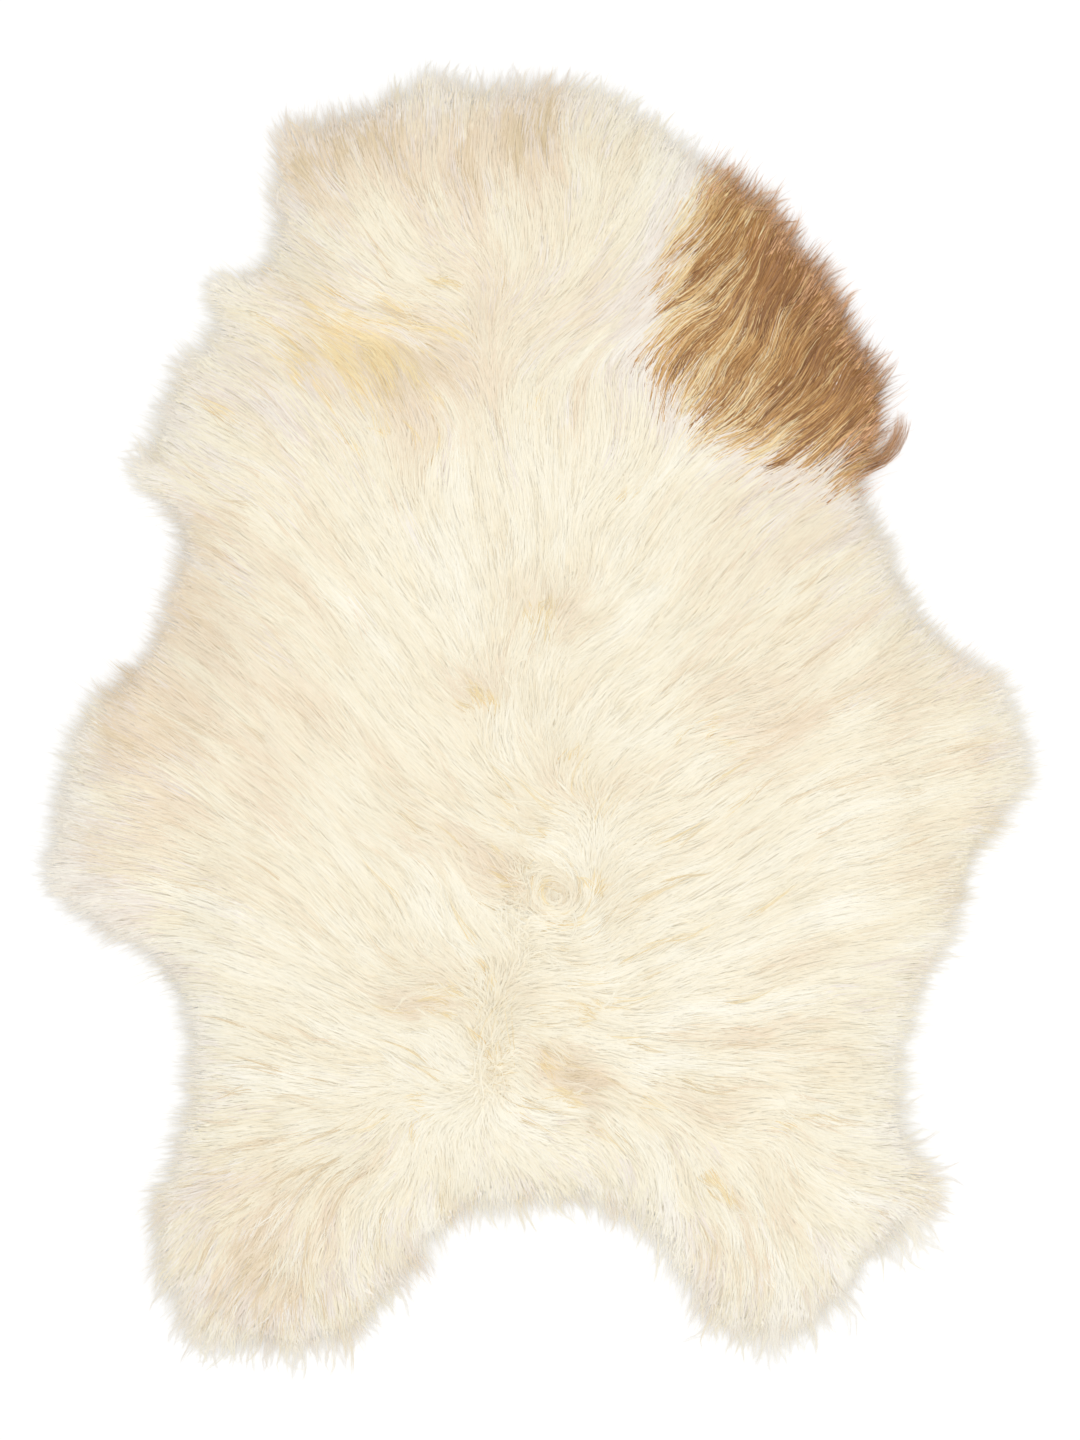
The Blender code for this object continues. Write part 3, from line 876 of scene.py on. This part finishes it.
# %% Yellow places and ashen places, by the share of their locks
STRAW_KIND = 0.61
YELLOW = rows_of(Tint, "x y reach", (
    ("under the left cheek", -128, 284, 28, 0.80),
    ("left shoulder", -150, 300, 60, 0.06),
))
ASHEN = rows_of(Tint, "x y reach", (
    ("neck", -80, 430, 120, 0.16),
    ("left flap", -400, -90, 55, 0.42),
    ("left flap, rear", -350, -190, 60, 0.40),
    ("left shoulder", -250, 240, 70, 0.30),
    ("inside the brown patch's border", 80, 300, 40, 0.55),
    ("below the brown patch", 200, 200, 50, 0.45),
    ("left leg", -240, -450, 80, 0.15),
    ("right flap", 400, 0, 40, 0.30),
    ("right elbow", 300, 110, 50, 0.25),
    ("right foot", 250, -480, 60, 0.20),
))
straw, ash = clouds(YELLOW), clouds(ASHEN)

# %% [markdown]
# Within the brown patch the locks are golden at its border, darkest in its outer half, and
# fox red at the very rim. The shade there differs more from hair to hair than it does in
# the cream, which is what makes the patch look like hair and not like a stain.

# %% Shades within the brown patch
BROWN_TINTS = rows_of(Tint, "x y reach", (
    ("top", 128, 405, 34, -0.120),
    ("top, at the rim", 175, 440, 24, -0.080),
    ("inner side", 150, 345, 24, 0.030),
    ("inner side, lower", 200, 245, 24, 0.030),
    ("upper dark band", 168, 365, 26, 0.085),
    ("middle", 192, 328, 30, 0.035),
    ("lower dark band", 250, 270, 24, 0.025),
    ("lower part", 200, 225, 35, -0.030),
    ("lowest corner", 265, 195, 22, -0.040),
))
brown_tint = clouds(BROWN_TINTS)
print(len(CREAM_CLOUDS_AND_PAINTED_SHADE), "clouds in the cream and", len(BROWN_TINTS), "in the brown")

# %% Choose each lock's colour
CREAM_MIDDLE, ASH_MIDDLE, BROWN_MIDDLE = 0.26, 0.055, 0.655
CREAM_KINDS, ASH_KINDS = (0.10, 0.53), (0.0, 0.10)
BROWN_KINDS, FOX_KINDS = (BROWN_FROM, 0.93), (0.955, 1.0)
ASH_AND_PAINTED_LIGHT_BAND, PALE_BAND, FOX_BAND = 0.045, 0.026, 0.016
LEG_STREAKS = 1.1


def pick_kinds(points, spread):
    """The chart's U for locks rooted at the points, once for cream hairs and once for brown."""
    count = len(points)
    inward = np.maximum(read(rim, points), 0)
    at_rim = np.exp(-((inward / ASH_AND_PAINTED_LIGHT_BAND) ** 2))
    share, shift = brown_share(points), read(cream_depth_and_shade, points)
    streaky = 1 + LEG_STREAKS * read(on_legs, points)
    broad, fine = streaky * read(broad_streak, points), streaky * read(fine_streak, points)
    # shift carries the clouds of deeper cream, and with them the painted shade at the folds and the top rim.
    cream = CREAM_MIDDLE + shift + 0.028 * broad + 0.017 * fine + spread * rng.normal(size=count)
    # Near the rim the hair is ashen and a little whiter: partly its own colour, partly painted light on the hair
    # that droops over the rim.
    ash_share = read(ash, points) + 0.60 * at_rim + 0.75 * np.clip(share / 0.1, 0, 1)
    ashen = ASH_MIDDLE - 0.3 * shift - 0.012 * broad + 0.04 * at_rim
    ashen = np.clip(ashen + 0.015 * rng.normal(size=count), *ASH_KINDS)
    drawn = rng.uniform(size=count)
    cream = np.where(drawn < ash_share, ashen, np.clip(cream, *CREAM_KINDS))
    cream = np.where(drawn > 1 - read(straw, points), STRAW_KIND, cream)
    outer = np.clip((0.135 - inward) / 0.075, 0, 1)
    deeper = 0.060 + 0.165 * outer - 0.14 * np.exp(-inward / PALE_BAND)
    brown = BROWN_MIDDLE + deep_share(points) * deeper + read(brown_tint, points)
    brown = brown + 0.010 * broad + 0.045 * fine + 1.8 * spread * rng.normal(size=count)
    fox_share = 0.70 * np.exp(-np.maximum(inward - 0.022, 0) / FOX_BAND)
    fox = rng.uniform(size=count) < fox_share
    return cream, np.where(fox, rng.uniform(*FOX_KINDS, count), np.clip(brown, *BROWN_KINDS))


# %% What every lock carries
KIND_SPREAD = 0.016
BROWN_BORDER = (0.25, 0.70)
NEVER_BROWN = 9.0
Locks = namedtuple("Locks", "root length aim turn swing phase lift cling kind brown border reach")


def make_locks(
    root, length, aim=0.0, turn=8.0, swing=5.0, lift=0.0002, cling=(0.2, 0.65), reach=0.0015
):
    """Each lock's own length, bend, wave, height and colour. Angles are spreads in degrees."""
    count = len(root)
    at_rim = np.clip(read(rim, root) / 0.05, 0.25, 1)
    kind, brown = pick_kinds(root, KIND_SPREAD)
    return Locks(
        root,
        length * rng.uniform(0.75, 1.25, count),
        *(np.radians(rng.normal(0, 1, count) * spread) for spread in (aim, turn, swing)),
        rng.uniform(0, 2 * math.pi, count),
        lift * (rng.normal(0, 1, count) - 0.8 * read(fine_streak, root)),
        rng.uniform(*cling, count) * at_rim,
        kind,
        brown,
        rng.uniform(*BROWN_BORDER, count),
        reach + 0.006 * read(clumps, root) + rng.normal(0, 0.003, count),
    )


def of_one_kind(locks, kind):
    """The same locks, each of the kind of colour that is given, also in the brown patch."""
    return locks._replace(kind=kind, border=np.full(len(kind), NEVER_BROWN))


# %% Plant the locks
LOCK_STEP, PARTING_STEP = 0.0095, 0.0065
PARTING = (0.35, 1.6)
PARTING_LENGTH = 0.62
body_root = scatter(LOCK_STEP, 0.42, 0.001)
part_root = scatter(PARTING_STEP, 0.42, 0.004)
part_root = part_root[read(parting, part_root) > rng.uniform(*PARTING, len(part_root))]
all_root = np.concatenate([body_root, part_root])
shorter_here = np.where(np.arange(len(all_root)) < len(body_root), 1.0, PARTING_LENGTH)
how_ruffled = read(ruffled, all_root)
how_brown = brown_share(all_root)
how_leggy = read(on_legs, all_root)
fleece_locks = make_locks(
    all_root,
    read(hair_length, all_root) * shorter_here * (1 - 0.25 * how_ruffled + 0.15 * how_brown),
    aim=5 + 2 * how_ruffled - 2 * how_brown + 2 * how_leggy,
    turn=7 + 4 * how_ruffled - 2 * how_brown + 6 * how_leggy,
    swing=5 + 3 * how_ruffled + 7 * how_leggy,
    lift=0.00013 + 0.00010 * how_ruffled + 0.0002 * how_brown,
)
print(len(body_root), "locks and", len(part_root), "more where the hair parts")

# %% Keep count of the layers of hair over each place
cover = np.zeros_like(top)


def count_cover(flat, area):
    """Adds to the grid how many times these hairs cover each cell, area being one step's."""
    middle = (flat[:, 1:] + flat[:, :-1]) / 2
    column = ((middle[..., 0] - low[0]) / CELL).astype(int).ravel()
    row = ((middle[..., 1] - low[1]) / CELL).astype(int).ravel()
    share = np.repeat(area / CELL**2, middle.shape[1])
    np.add.at(cover, (np.clip(row, 0, rows - 1), np.clip(column, 0, columns - 1)), share)


# %% Paths of a lock's hairs, drawn towards its middle line
HAIR_STRAY = 3.0
HAIR_LENGTHS = (0.80, 1.12)


def lay_hairs(locks, owner, root, steps, shorter, ragged):
    """Each hair's path seen from above, and its length."""
    count = len(owner)
    full = locks.length[owner]
    length = full * shorter * rng.uniform(*HAIR_LENGTHS, count)
    bends = [locks.aim[owner], locks.turn[owner], locks.swing[owner]]
    strays = (HAIR_STRAY, 1.5 * HAIR_STRAY, 0.5 * HAIR_STRAY)
    own = [bend + np.radians(rng.normal(0, stray, count)) for bend, stray in zip(bends, strays)]
    own.append(locks.phase[owner] + rng.normal(0, 0.3, count))
    reach = locks.reach[owner] + rng.normal(0, ragged, count)
    length = reach_over_rim(walk(root, length, *own, steps), length, reach)
    path = walk(root, length, *own, steps)
    lead = full * np.minimum(length / (full * shorter), 1.0)
    middle = walk(locks.root[owner], lead, *bends, locks.phase[owner], steps)
    cling = locks.cling[owner][:, None] * smooth_share(np.linspace(0, 1, steps + 1) * 1.1)
    return path + (middle - path) * cling[..., None], length


# %% Lift the hairs off the skin
HAIR_LIFT = 0.00012
LOWEST, LOWEST_SPREAD = 0.0009, 0.0006
ARCH = 0.45


def raise_hairs(locks, owner, flat, lift):
    """The paths in 3D: each hair rises from its root, and sinks where it leaves the rim."""
    share = np.linspace(0, 1, flat.shape[1])
    rise = lift[0] + (lift[1] - lift[0]) * smooth_share(share / ARCH)
    over = np.clip(read(rim, flat) / 0.012 + 0.7, 0.12, 1)
    uneven = locks.lift[owner] + rng.normal(0, HAIR_LIFT, len(owner))
    height = read(lie, flat) + over * (rise[None, :] + uneven[:, None])
    lowest = LOWEST + LOWEST_SPREAD * rng.uniform(size=len(owner))
    return np.concatenate([flat, np.maximum(height, lowest[:, None])[..., None]], axis=2)


# %% Shade the hairs one by one
BORDER_SPREAD = 0.13
LEAST_SHARE = 0.03
LOW_LOCK_PAINTED_SHADE = 220


def shade_hairs(locks, owner, root):
    """Each hair's kind on the colour chart, and how much darker it starts than the others, painted shade on low
    locks included.
    """
    count = len(owner)
    share, deep = brown_share(root), deep_share(root)
    past_border = share > locks.border[owner] + rng.normal(0, BORDER_SPREAD, count)
    is_brown = (share > LEAST_SHARE) & past_border
    kind = np.where(is_brown, locks.brown[owner], locks.kind[owner])
    mottle = np.where(is_brown, 0.030 + 0.055 * deep, 0.014)
    deepest = np.where(kind > FOX_KINDS[0], FOX_KINDS[1], BROWN_KINDS[1])
    kind = np.clip(kind + mottle * rng.normal(size=count), 0.0, deepest)
    # Locks that lie lower start darker: painted shade, as if cast by the locks that lie over them.
    dark = rng.normal(0.0, 0.05, count) - LOW_LOCK_PAINTED_SHADE * locks.lift[owner]
    return kind, np.clip(dark, -0.12, 0.3) - 0.35 * is_brown * (1 - deep)


# %% Grow the hairs of every lock
HAIR_WIDTHS = (0.6, 1.3)
HAIR_ROLL = 9


def grow(name, locks, blade, hairs, wide, spread, lift, shorter=1.0, least=0.0, ragged=0.008):
    """Adds to the fleece a piece of hairs on the locks, as many on each as hairs says."""
    owner = np.repeat(np.arange(len(locks.root)), hairs)
    root = locks.root[owner] + rng.normal(0, spread, (len(owner), 2))
    keep = read(rim, root) > least
    owner, root = owner[keep], root[keep]
    count = len(owner)
    flat, length = lay_hairs(locks, owner, root, blade.segments, shorter, ragged)
    path = raise_hairs(locks, owner, flat, lift)
    count_cover(flat, length * wide / blade.segments)
    thin = 1 - 0.62 * np.clip(0.25 - read(rim, flat[:, -1]) / 0.008, 0, 1)
    width = wide * rng.uniform(*HAIR_WIDTHS, count) * thin
    roll = np.radians(rng.normal(0, HAIR_ROLL, count))
    kind, dark = shade_hairs(locks, owner, root)
    join_hairs(name, blade_points(path, blade, width, roll), blade, kind, dark)


# %% The undercoat, and the fleece in seven regions
UNDERCOAT_REACH = -0.007
under_locks = fleece_locks._replace(reach=np.full(len(all_root), UNDERCOAT_REACH))
grow(
    "undercoat", under_locks, felt_blade, hairs=3, wide=0.0024, spread=0.0050,
    lift=(-0.003, 0.0001), shorter=0.7, least=0.009, ragged=0.002,
)
x, y = fleece_locks.root.T
in_patch = (y > 0.12) & (brown_share(fleece_locks.root) > 0.3)
regions = {
    "neck_fleece": ~in_patch & (y > 0.29),
    "brown_patch_fleece": in_patch,
    "shoulder_fleece": ~in_patch & (y <= 0.29) & (y > 0.11),
    "left_flank_fleece": (y <= 0.11) & (y > -0.25) & (x < 0),
    "right_flank_fleece": ~in_patch & (y <= 0.11) & (y > -0.25) & (x >= 0),
    "left_leg_fleece": (y <= -0.25) & (x < 0),
    "right_leg_fleece": (y <= -0.25) & (x >= 0),
}
for name, chosen in regions.items():
    locks = Locks(*(values[chosen] for values in fleece_locks))
    if name == "brown_patch_fleece":
        grow(name, locks, long_blade, 13, 0.00084, spread=0.004, lift=(-0.003, 0.0008), ragged=0.012)
    else:
        grow(name, locks, hair_blade, 10, 0.00088, spread=0.0042, lift=(-0.003, 0.0007))
print("hairs grown in", round(time.time() - clock, 1), "s")

# %% Fill the places that the hair leaves bare
BARE_LAYERS = 4.2
FILL_STEP = 0.0052
FILL_DEEPER = 0.05
layers = blur(cover, 0.005)
print("layers of hair", np.percentile(layers[rim > 0.02], [1, 10, 50, 90]).round(1))
fill_root = scatter(FILL_STEP, 0.45, 0.012)
fill_root = fill_root[read(layers, fill_root) < BARE_LAYERS * rng.uniform(0.6, 1.1, len(fill_root))]
side_on = np.where(rng.uniform(size=len(fill_root)) < 0.5, 1, -1)
fill_locks = make_locks(fill_root, 0.032, turn=25, swing=8, lift=0.0003, cling=(0.3, 0.8))
fill_locks = fill_locks._replace(
    aim=np.radians(side_on * rng.uniform(20, 160, len(fill_root))),
    kind=np.clip(fill_locks.kind + FILL_DEEPER, 0.0, 0.55),
)
grow("parting_fleece", fill_locks, long_blade, 6, 0.00105, spread=0.0045, lift=(-0.0006, 0.001))

# %% [markdown]
# ## Curls on the spine and wisps at the rim
# Along the spine the fleece does not know which way to fall. It sets in short curls there,
# and tufts of golden wool show between them. At the rim single hairs run out past the locks,
# so the outline fades instead of ending.

# %% Curls
Curl = namedtuple("Curl", "place x y reach curls golden")
CURLS = rows_of(Curl, "x y reach", (
    ("on the neck", -64, 367, 18, 24, 5),
    ("left cheek", -134, 304, 18, 14, 3),
    ("left shoulder", -88, 205, 16, 14, 0),
    ("spine, front", 2, 79, 18, 30, 24),
    ("right of the spine", 62, 180, 12, 12, 2),
    ("spine, middle", -45, 8, 16, 30, 9),
    ("behind the middle", 30, -40, 16, 24, 2),
    ("right side", 142, -18, 16, 10, 4),
    ("above the rear curl", 0, -95, 18, 30, 3),
    ("rear curl, left", 6, -140, 10, 20, 4),
    ("rear curl, right", 46, -150, 8, 8, 7),
    ("beside the rear curl", -22, -130, 16, 24, 3),
    ("below the rear curl", 12, -195, 20, 26, 2),
    ("right loin", 30, -248, 12, 22, 6),
    ("left loin", -80, -244, 18, 40, 8),
    ("parting", -45, -225, 22, 44, 4),
    ("rump, front", 0, -288, 10, 20, 6),
    ("rump", 12, -318, 12, 24, 10),
    ("beside the rump", -50, -290, 20, 34, 3),
    ("left hip", -96, -343, 18, 30, 3),
    ("right hip", 190, -347, 18, 26, 2),
    ("right thigh", 140, -392, 22, 18, 9),
))


def shaken(spots, reach, counts):
    """Points shaken round each spot, as many as the column that counts names says."""
    made = [rng.normal((s.x, s.y), reach * s.reach, (getattr(s, counts), 2)) for s in spots]
    return np.concatenate(made)


GOLDEN_KINDS = (0.575, 0.615)
curl_root = shaken(CURLS, 1.0, "curls")
curls = make_locks(curl_root, 0.042, aim=14, turn=38, swing=8, lift=0.0003, cling=(0.6, 0.95))
grow("spine_curls", curls, curl_blade, 7, 0.0008, spread=0.0034, lift=(-0.003, 0.001))
tuft_root = shaken(CURLS, 0.45, "golden")
tufts = make_locks(tuft_root, 0.020, aim=14, turn=24, swing=8, cling=(0.4, 0.9))
tufts = of_one_kind(tufts, rng.uniform(*GOLDEN_KINDS, len(tuft_root)))
grow("golden_tufts", tufts, wide_blade, 9, 0.0007, spread=0.0034, lift=(-0.001, 0.0012))

# %% [markdown]
# A few locks, longer and finer than the rest, lie loose on top, a shade apart from what is
# below them. They are what makes a fleece look fine and silky.

# %% Fine strands that lie on top
Strand = namedtuple("Strand", "place x y reach locks palest deepest")
STRANDS = rows_of(Strand, "x y reach", (
    ("left thigh", -200, -370, 55, 44, 0.45, 0.53),
    ("left leg", -235, -450, 45, 30, 0.45, 0.53),
    ("left leg, white", -200, -420, 60, 30, 0.10, 0.18),
    ("right thigh", 160, -375, 50, 20, 0.42, 0.50),
    ("right leg", 220, -440, 50, 14, 0.40, 0.48),
    ("loin", 0, -265, 65, 36, 0.56, 0.60),
    ("round the rear curl", 30, -140, 60, 30, 0.56, 0.60),
    ("left flank", -210, -20, 90, 36, 0.42, 0.50),
    ("right flank", 200, 0, 90, 30, 0.42, 0.50),
    ("neck", -120, 350, 60, 14, 0.46, 0.52),
    ("left shoulder", -210, 220, 50, 14, 0.44, 0.52),
    ("patch, dark", 140, 320, 45, 40, 0.80, 0.93),
    ("patch, golden", 200, 300, 50, 40, 0.65, 0.72),
))
strand_root = shaken(STRANDS, 1.0, "locks")
strand_kind = np.concatenate([rng.uniform(s.palest, s.deepest, s.locks) for s in STRANDS])
of_patch = strand_kind > BROWN_FROM
suits = of_patch == (brown_share(strand_root) > 0.5)
strand_root, strand_kind = strand_root[suits], strand_kind[suits]
strands = make_locks(strand_root, 0.062, aim=5, turn=10, swing=9, lift=0.0002, cling=(0.80, 0.97))
strands = of_one_kind(strands, strand_kind)
grow("fine_strands", strands, long_blade, 6, 0.00058, spread=0.0034, lift=(-0.002, 0.001))

# %% [markdown]
# Wisps are single hairs from just inside the rim that reach about a centimetre past it. One
# lock of the brown patch is set apart: it stands clear at the patch's lower corner and
# curls forward to a point.

# %% Wisps, and the one hooked lock
WISP_STEP = 0.0058
WISP_BAND = 0.020
HOOK_HAIRS, HOOK_LENGTH, HOOK_ROOT = 20, 0.072, (0.264, 0.211)
HOOK_STARTS, HOOK_ENDS = math.radians(22), math.radians(88)
wisp_root = scatter(WISP_STEP, 0.45, 0.0)
wisp_root = wisp_root[read(rim, wisp_root) < WISP_BAND]
wisps = make_locks(wisp_root, 0.042, aim=16, turn=16, swing=7, cling=(0.1, 0.7), reach=0.0105)
wisps = wisps._replace(brown=rng.uniform(0.96, 1.0, len(wisp_root)))
hook_root = rng.normal(HOOK_ROOT, 0.0026, (HOOK_HAIRS, 2))
lie_of_hair = np.arctan2(read(north, hook_root), read(east, hook_root))
hook = make_locks(hook_root, HOOK_LENGTH, turn=0, swing=0, cling=(0.94, 0.99), reach=0.03)
hook = hook._replace(
    aim=HOOK_STARTS - lie_of_hair,
    turn=HOOK_ENDS - lie_of_hair,
    length=np.full(HOOK_HAIRS, HOOK_LENGTH),
)
hook = of_one_kind(hook, rng.uniform(0.91, 0.97, HOOK_HAIRS))
grow("hooked_wisp", hook, long_blade, 6, 0.0008, spread=0.0017, lift=(-0.002, 0.0012), ragged=0.002)
grow("rim_wisps", wisps, wide_blade, 4, 0.0006, spread=0.0035, lift=(-0.003, 0.0006), ragged=0.007)

# %% [markdown]
# At the feet, the tail, the neck, the brown patch and a few other places whole locks hang out
# past the rim as well. They cling together more than the others do, so each ends in one point.

# %% Pointed locks that hang out past the rim
Fringe = namedtuple("Fringe", "place x y spread locks reach")
FRINGES = rows_of(Fringe, "x y spread reach", (
    ("left foot", -230, -530, 50, 60, 27),
    ("left foot, inner side", -130, -500, 40, 28, 16),
    ("right foot", 200, -520, 40, 44, 25),
    ("right foot, outer side", 320, -440, 45, 44, 26),
    ("tail", 30, -425, 55, 44, 18),
    ("left thigh", -330, -430, 40, 18, 10),
    ("left flap, rear", -420, -130, 40, 16, 10),
    ("left shoulder", -335, 225, 35, 26, 14),
    ("left cheek", -290, 360, 30, 16, 9),
    ("left corner of the neck", -230, 490, 25, 14, 12),
    ("top of the neck", -20, 550, 90, 46, 20),
    ("brown patch, upper", 210, 430, 40, 56, 18),
    ("brown patch, lower", 272, 340, 34, 50, 19),
))


def along_rim(fringe):
    """Roots for the fringe's locks: shaken round its place, and kept near the rim."""
    tried = rng.normal((fringe.x, fringe.y), fringe.spread, (40 * fringe.locks, 2))
    inward = read(rim, tried)
    return tried[(inward > 0.004) & (inward < 0.020)][: fringe.locks]


fringe_roots = [along_rim(fringe) for fringe in FRINGES]
fringe_root = np.concatenate(fringe_roots)
reaches = np.repeat([fringe.reach for fringe in FRINGES], [len(root) for root in fringe_roots])
pointed = make_locks(fringe_root, 0.058, aim=14, turn=24, swing=20, lift=0.0005)
pointed = pointed._replace(
    cling=rng.uniform(0.75, 0.97, len(fringe_root)),
    brown=rng.uniform(0.975, 1.0, len(fringe_root)),
    reach=reaches * rng.uniform(0.3, 1.15, len(fringe_root)),
)
grow(
    "rim_locks", pointed, long_blade, 9, 0.0007,
    spread=0.0022, lift=(-0.002, 0.0008), ragged=0.0025,
)
print("wisps and curls in", round(time.time() - clock, 1), "s")

# %% [markdown]
# ## The wool under the hairs
# Between the hairs one sees short dense wool, never the floor. It could be a copy of the
# solid, but the solid ends in a hard rim and the fleece must end in loose hair. So a grid is
# trimmed to the distance from the rim, and its top follows the surface that the hair lies on.

# %% A sheet that follows the rim
def trimmed_grid(inset, cell):
    """A flat grid as a bmesh, cut off where the rim is nearer than inset, with a smooth edge."""
    across, along = (int((high[axis] - low[axis]) / cell) for axis in (0, 1))
    shape = bmesh.new()
    bmesh.ops.create_grid(shape, x_segments=across, y_segments=along, size=0.5)
    bmesh.ops.scale(shape, vec=(across * cell, along * cell, 1), verts=shape.verts)
    place = np.array([corner.co[:2] for corner in shape.verts])
    too_near = read(rim, place) < inset
    outside = [corner for corner, near in zip(shape.verts, too_near) if near]
    bmesh.ops.delete(shape, geom=outside, context="VERTS")
    edge = [corner for corner in shape.verts if corner.is_boundary]
    place = np.array([corner.co[:2] for corner in edge])
    slope = np.stack([read(slope_x, place), read(slope_y, place)], axis=-1)
    size = np.maximum(np.linalg.norm(slope, axis=1, keepdims=True), 0.3)
    moved = place + (inset - read(rim, place))[:, None] * slope / size**2
    for corner, spot in zip(edge, moved):
        corner.co.x, corner.co.y = spot
    bmesh.ops.smooth_vert(shape, verts=edge, factor=0.5, use_axis_x=True, use_axis_y=True)
    return shape


def slab(inset, cell, thick, level):
    """The trimmed grid at a level, made thick upwards: its bmesh, its upper points, its area."""
    shape = trimmed_grid(inset, cell)
    area = sum(face.calc_area() for face in shape.faces)
    made = bmesh.ops.extrude_face_region(shape, geom=shape.faces[:])["geom"]
    raised = [item for item in made if isinstance(item, bmesh.types.BMVert)]
    bmesh.ops.translate(shape, verts=raised, vec=(0, 0, thick))
    bmesh.ops.translate(shape, verts=shape.verts, vec=(0, 0, level))
    bmesh.ops.recalc_face_normals(shape, faces=shape.faces)
    return shape, raised, area


def as_mesh(shape, name):
    mesh = bpy.data.meshes.new(name)
    shape.to_mesh(mesh)
    shape.free()
    return mesh


# %% Short dense wool
HIDE_THICK, HIDE_CLEAR = 0.002, 0.0003
WOOL_INSET, WOOL_CELL = 0.010, 0.010
WOOL_THICK, WOOL_SINK = 0.002, 0.0019


def make_under_wool():
    level = HIDE_THICK + 2 * HIDE_CLEAR
    shape, raised, _ = slab(WOOL_INSET, WOOL_CELL, WOOL_THICK, level)
    place = np.array([corner.co[:2] for corner in raised])
    height = read(lie, place) - WOOL_SINK + 0.0008 * speckle(place, 0.009, 21.0)
    for corner, top_level in zip(raised, height):
        corner.co.z = max(top_level, level + WOOL_THICK)
    chart = shape.loops.layers.uv.new("OFBake")
    for corner in shape.verts:
        brown = float(read(patch, np.array(corner.co[:2])))
        for loop in corner.link_loops:
            loop[chart].uv = (0.24 + 0.54 * brown, 0.60 - 0.4 * brown)
    return add_piece("under_wool", as_mesh(shape, "under_wool"), wool)


under_wool = make_under_wool()
print("under_wool", len(under_wool.data.polygons), "faces")

# %% [markdown]
# ## The skin
# Turned over, the rug shows the flesh side of the hide: pale napped suede, a little
# uneven in colour, cut just inside the rim of the fleece. A sheet like this could be drawn
# point by point. A grid that is trimmed to the distance from the rim follows the fleece's
# outline by itself.

# %% Suede
def suede_material():
    """Pale napped leather, clouded with soft patches of deeper tan."""
    material, shader, add, link, roughen = new_material("suede")
    cloud = add("TexNoise", Scale=9.0, Detail=6.0, Roughness=0.62)
    tone = add("ValToRGB")
    fill_ramp(tone, [(0.25, (196, 176, 146)), (0.55, (222, 206, 178)), (0.8, (236, 224, 202))])
    link(add("TexCoord").outputs["Object"], cloud.inputs["Vector"])
    link(cloud.outputs["Fac"], tone.inputs["Fac"])
    link(tone.outputs["Color"], shader.inputs["Base Color"])
    roughen(scale=420.0, detail=4.0, strength=0.5, distance=0.0004)
    shader.inputs["Roughness"].default_value = 0.9
    shader.inputs["Sheen Weight"].default_value = 0.3
    return material


# %% The hide
HIDE_INSET = HIDE_CELL = 0.012
SHARP_EDGE = math.radians(50)


def make_hide():
    shape, _, area = slab(HIDE_INSET, HIDE_CELL, HIDE_THICK, HIDE_CLEAR)
    skin = add_piece("hide", as_mesh(shape, "hide"), suede_material())
    skin.data.set_sharp_from_angle(angle=SHARP_EDGE)
    return skin, area


hide, hide_area = make_hide()

# %% [markdown]
# ## Studio
# The rug lies on a plain pale floor. Light from the side would rake the fleece and fill it
# with grey slits. So most of the light falls straight down from one lamp high above, as in
# a photographer's tent. A pale sky fills the shade, and a weak lamp beyond the right hind
# leg leaves the far rims a little darker. The camera looks straight down.

# %% Floor
def make_floor():
    shape = bmesh.new()
    bmesh.ops.create_grid(shape, x_segments=1, y_segments=1, size=4.0)
    mesh = as_mesh(shape, "studio_floor")
    finish = new_material("pale floor")
    finish.shader.inputs["Base Color"].default_value = (0.98, 0.98, 0.98, 1)
    finish.shader.inputs["Roughness"].default_value = 0.9
    mesh.materials.append(finish.material)
    ground = bpy.data.objects.new("studio_floor", mesh)
    bpy.context.scene.collection.objects.link(ground)
    ground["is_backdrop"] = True


make_floor()

# %% Lights
def soft_light(name, place, size, watts):
    """A square area light that faces the middle of the rug."""
    lamp = bpy.data.lights.new(name, "AREA")
    lamp.size = size
    lamp.energy = watts
    light = bpy.data.objects.new(name, lamp)
    light.location = place
    light.rotation_euler = (-Vector(place)).to_track_quat("-Z", "Y").to_euler()
    bpy.context.scene.collection.objects.link(light)


soft_light("side light", (1.8, -1.5, 2.6), 1.8, 9.5)
soft_light("top light", (0.0, 0.0, 4.6), 1.1, 130)
world = bpy.data.worlds.new("studio")
bpy.context.scene.world = world
world.use_nodes = True
sky = world.node_tree.nodes["Background"]
sky.inputs["Color"].default_value = (1, 1, 1, 1)
sky.inputs["Strength"].default_value = 0.45
bpy.context.scene.view_settings.view_transform = "Standard"

# %% Camera straight above
FRAME_HEIGHT = 1.224
SENSOR, LENS = 36.0, 100.0
RUG_TOP = 0.03

optics = bpy.data.cameras.new("camera")
optics.lens = LENS
optics.sensor_width = SENSOR
camera = bpy.data.objects.new("camera", optics)
camera.location = (0.0, 0.0, FRAME_HEIGHT * LENS / SENSOR + RUG_TOP)
print("camera", round(camera.location.z, 2), "m above the floor")
bpy.context.scene.collection.objects.link(camera)
bpy.context.scene.camera = camera

# %% Print the dressed size beside the solid's, and finish
dressed_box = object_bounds()
sizes = {"solid": [list(map(float, c)) for c in solid_box], "dressed": [list(map(float, c)) for c in dressed_box]}
print(sizes, "all in", round(time.time() - clock, 1), "s")
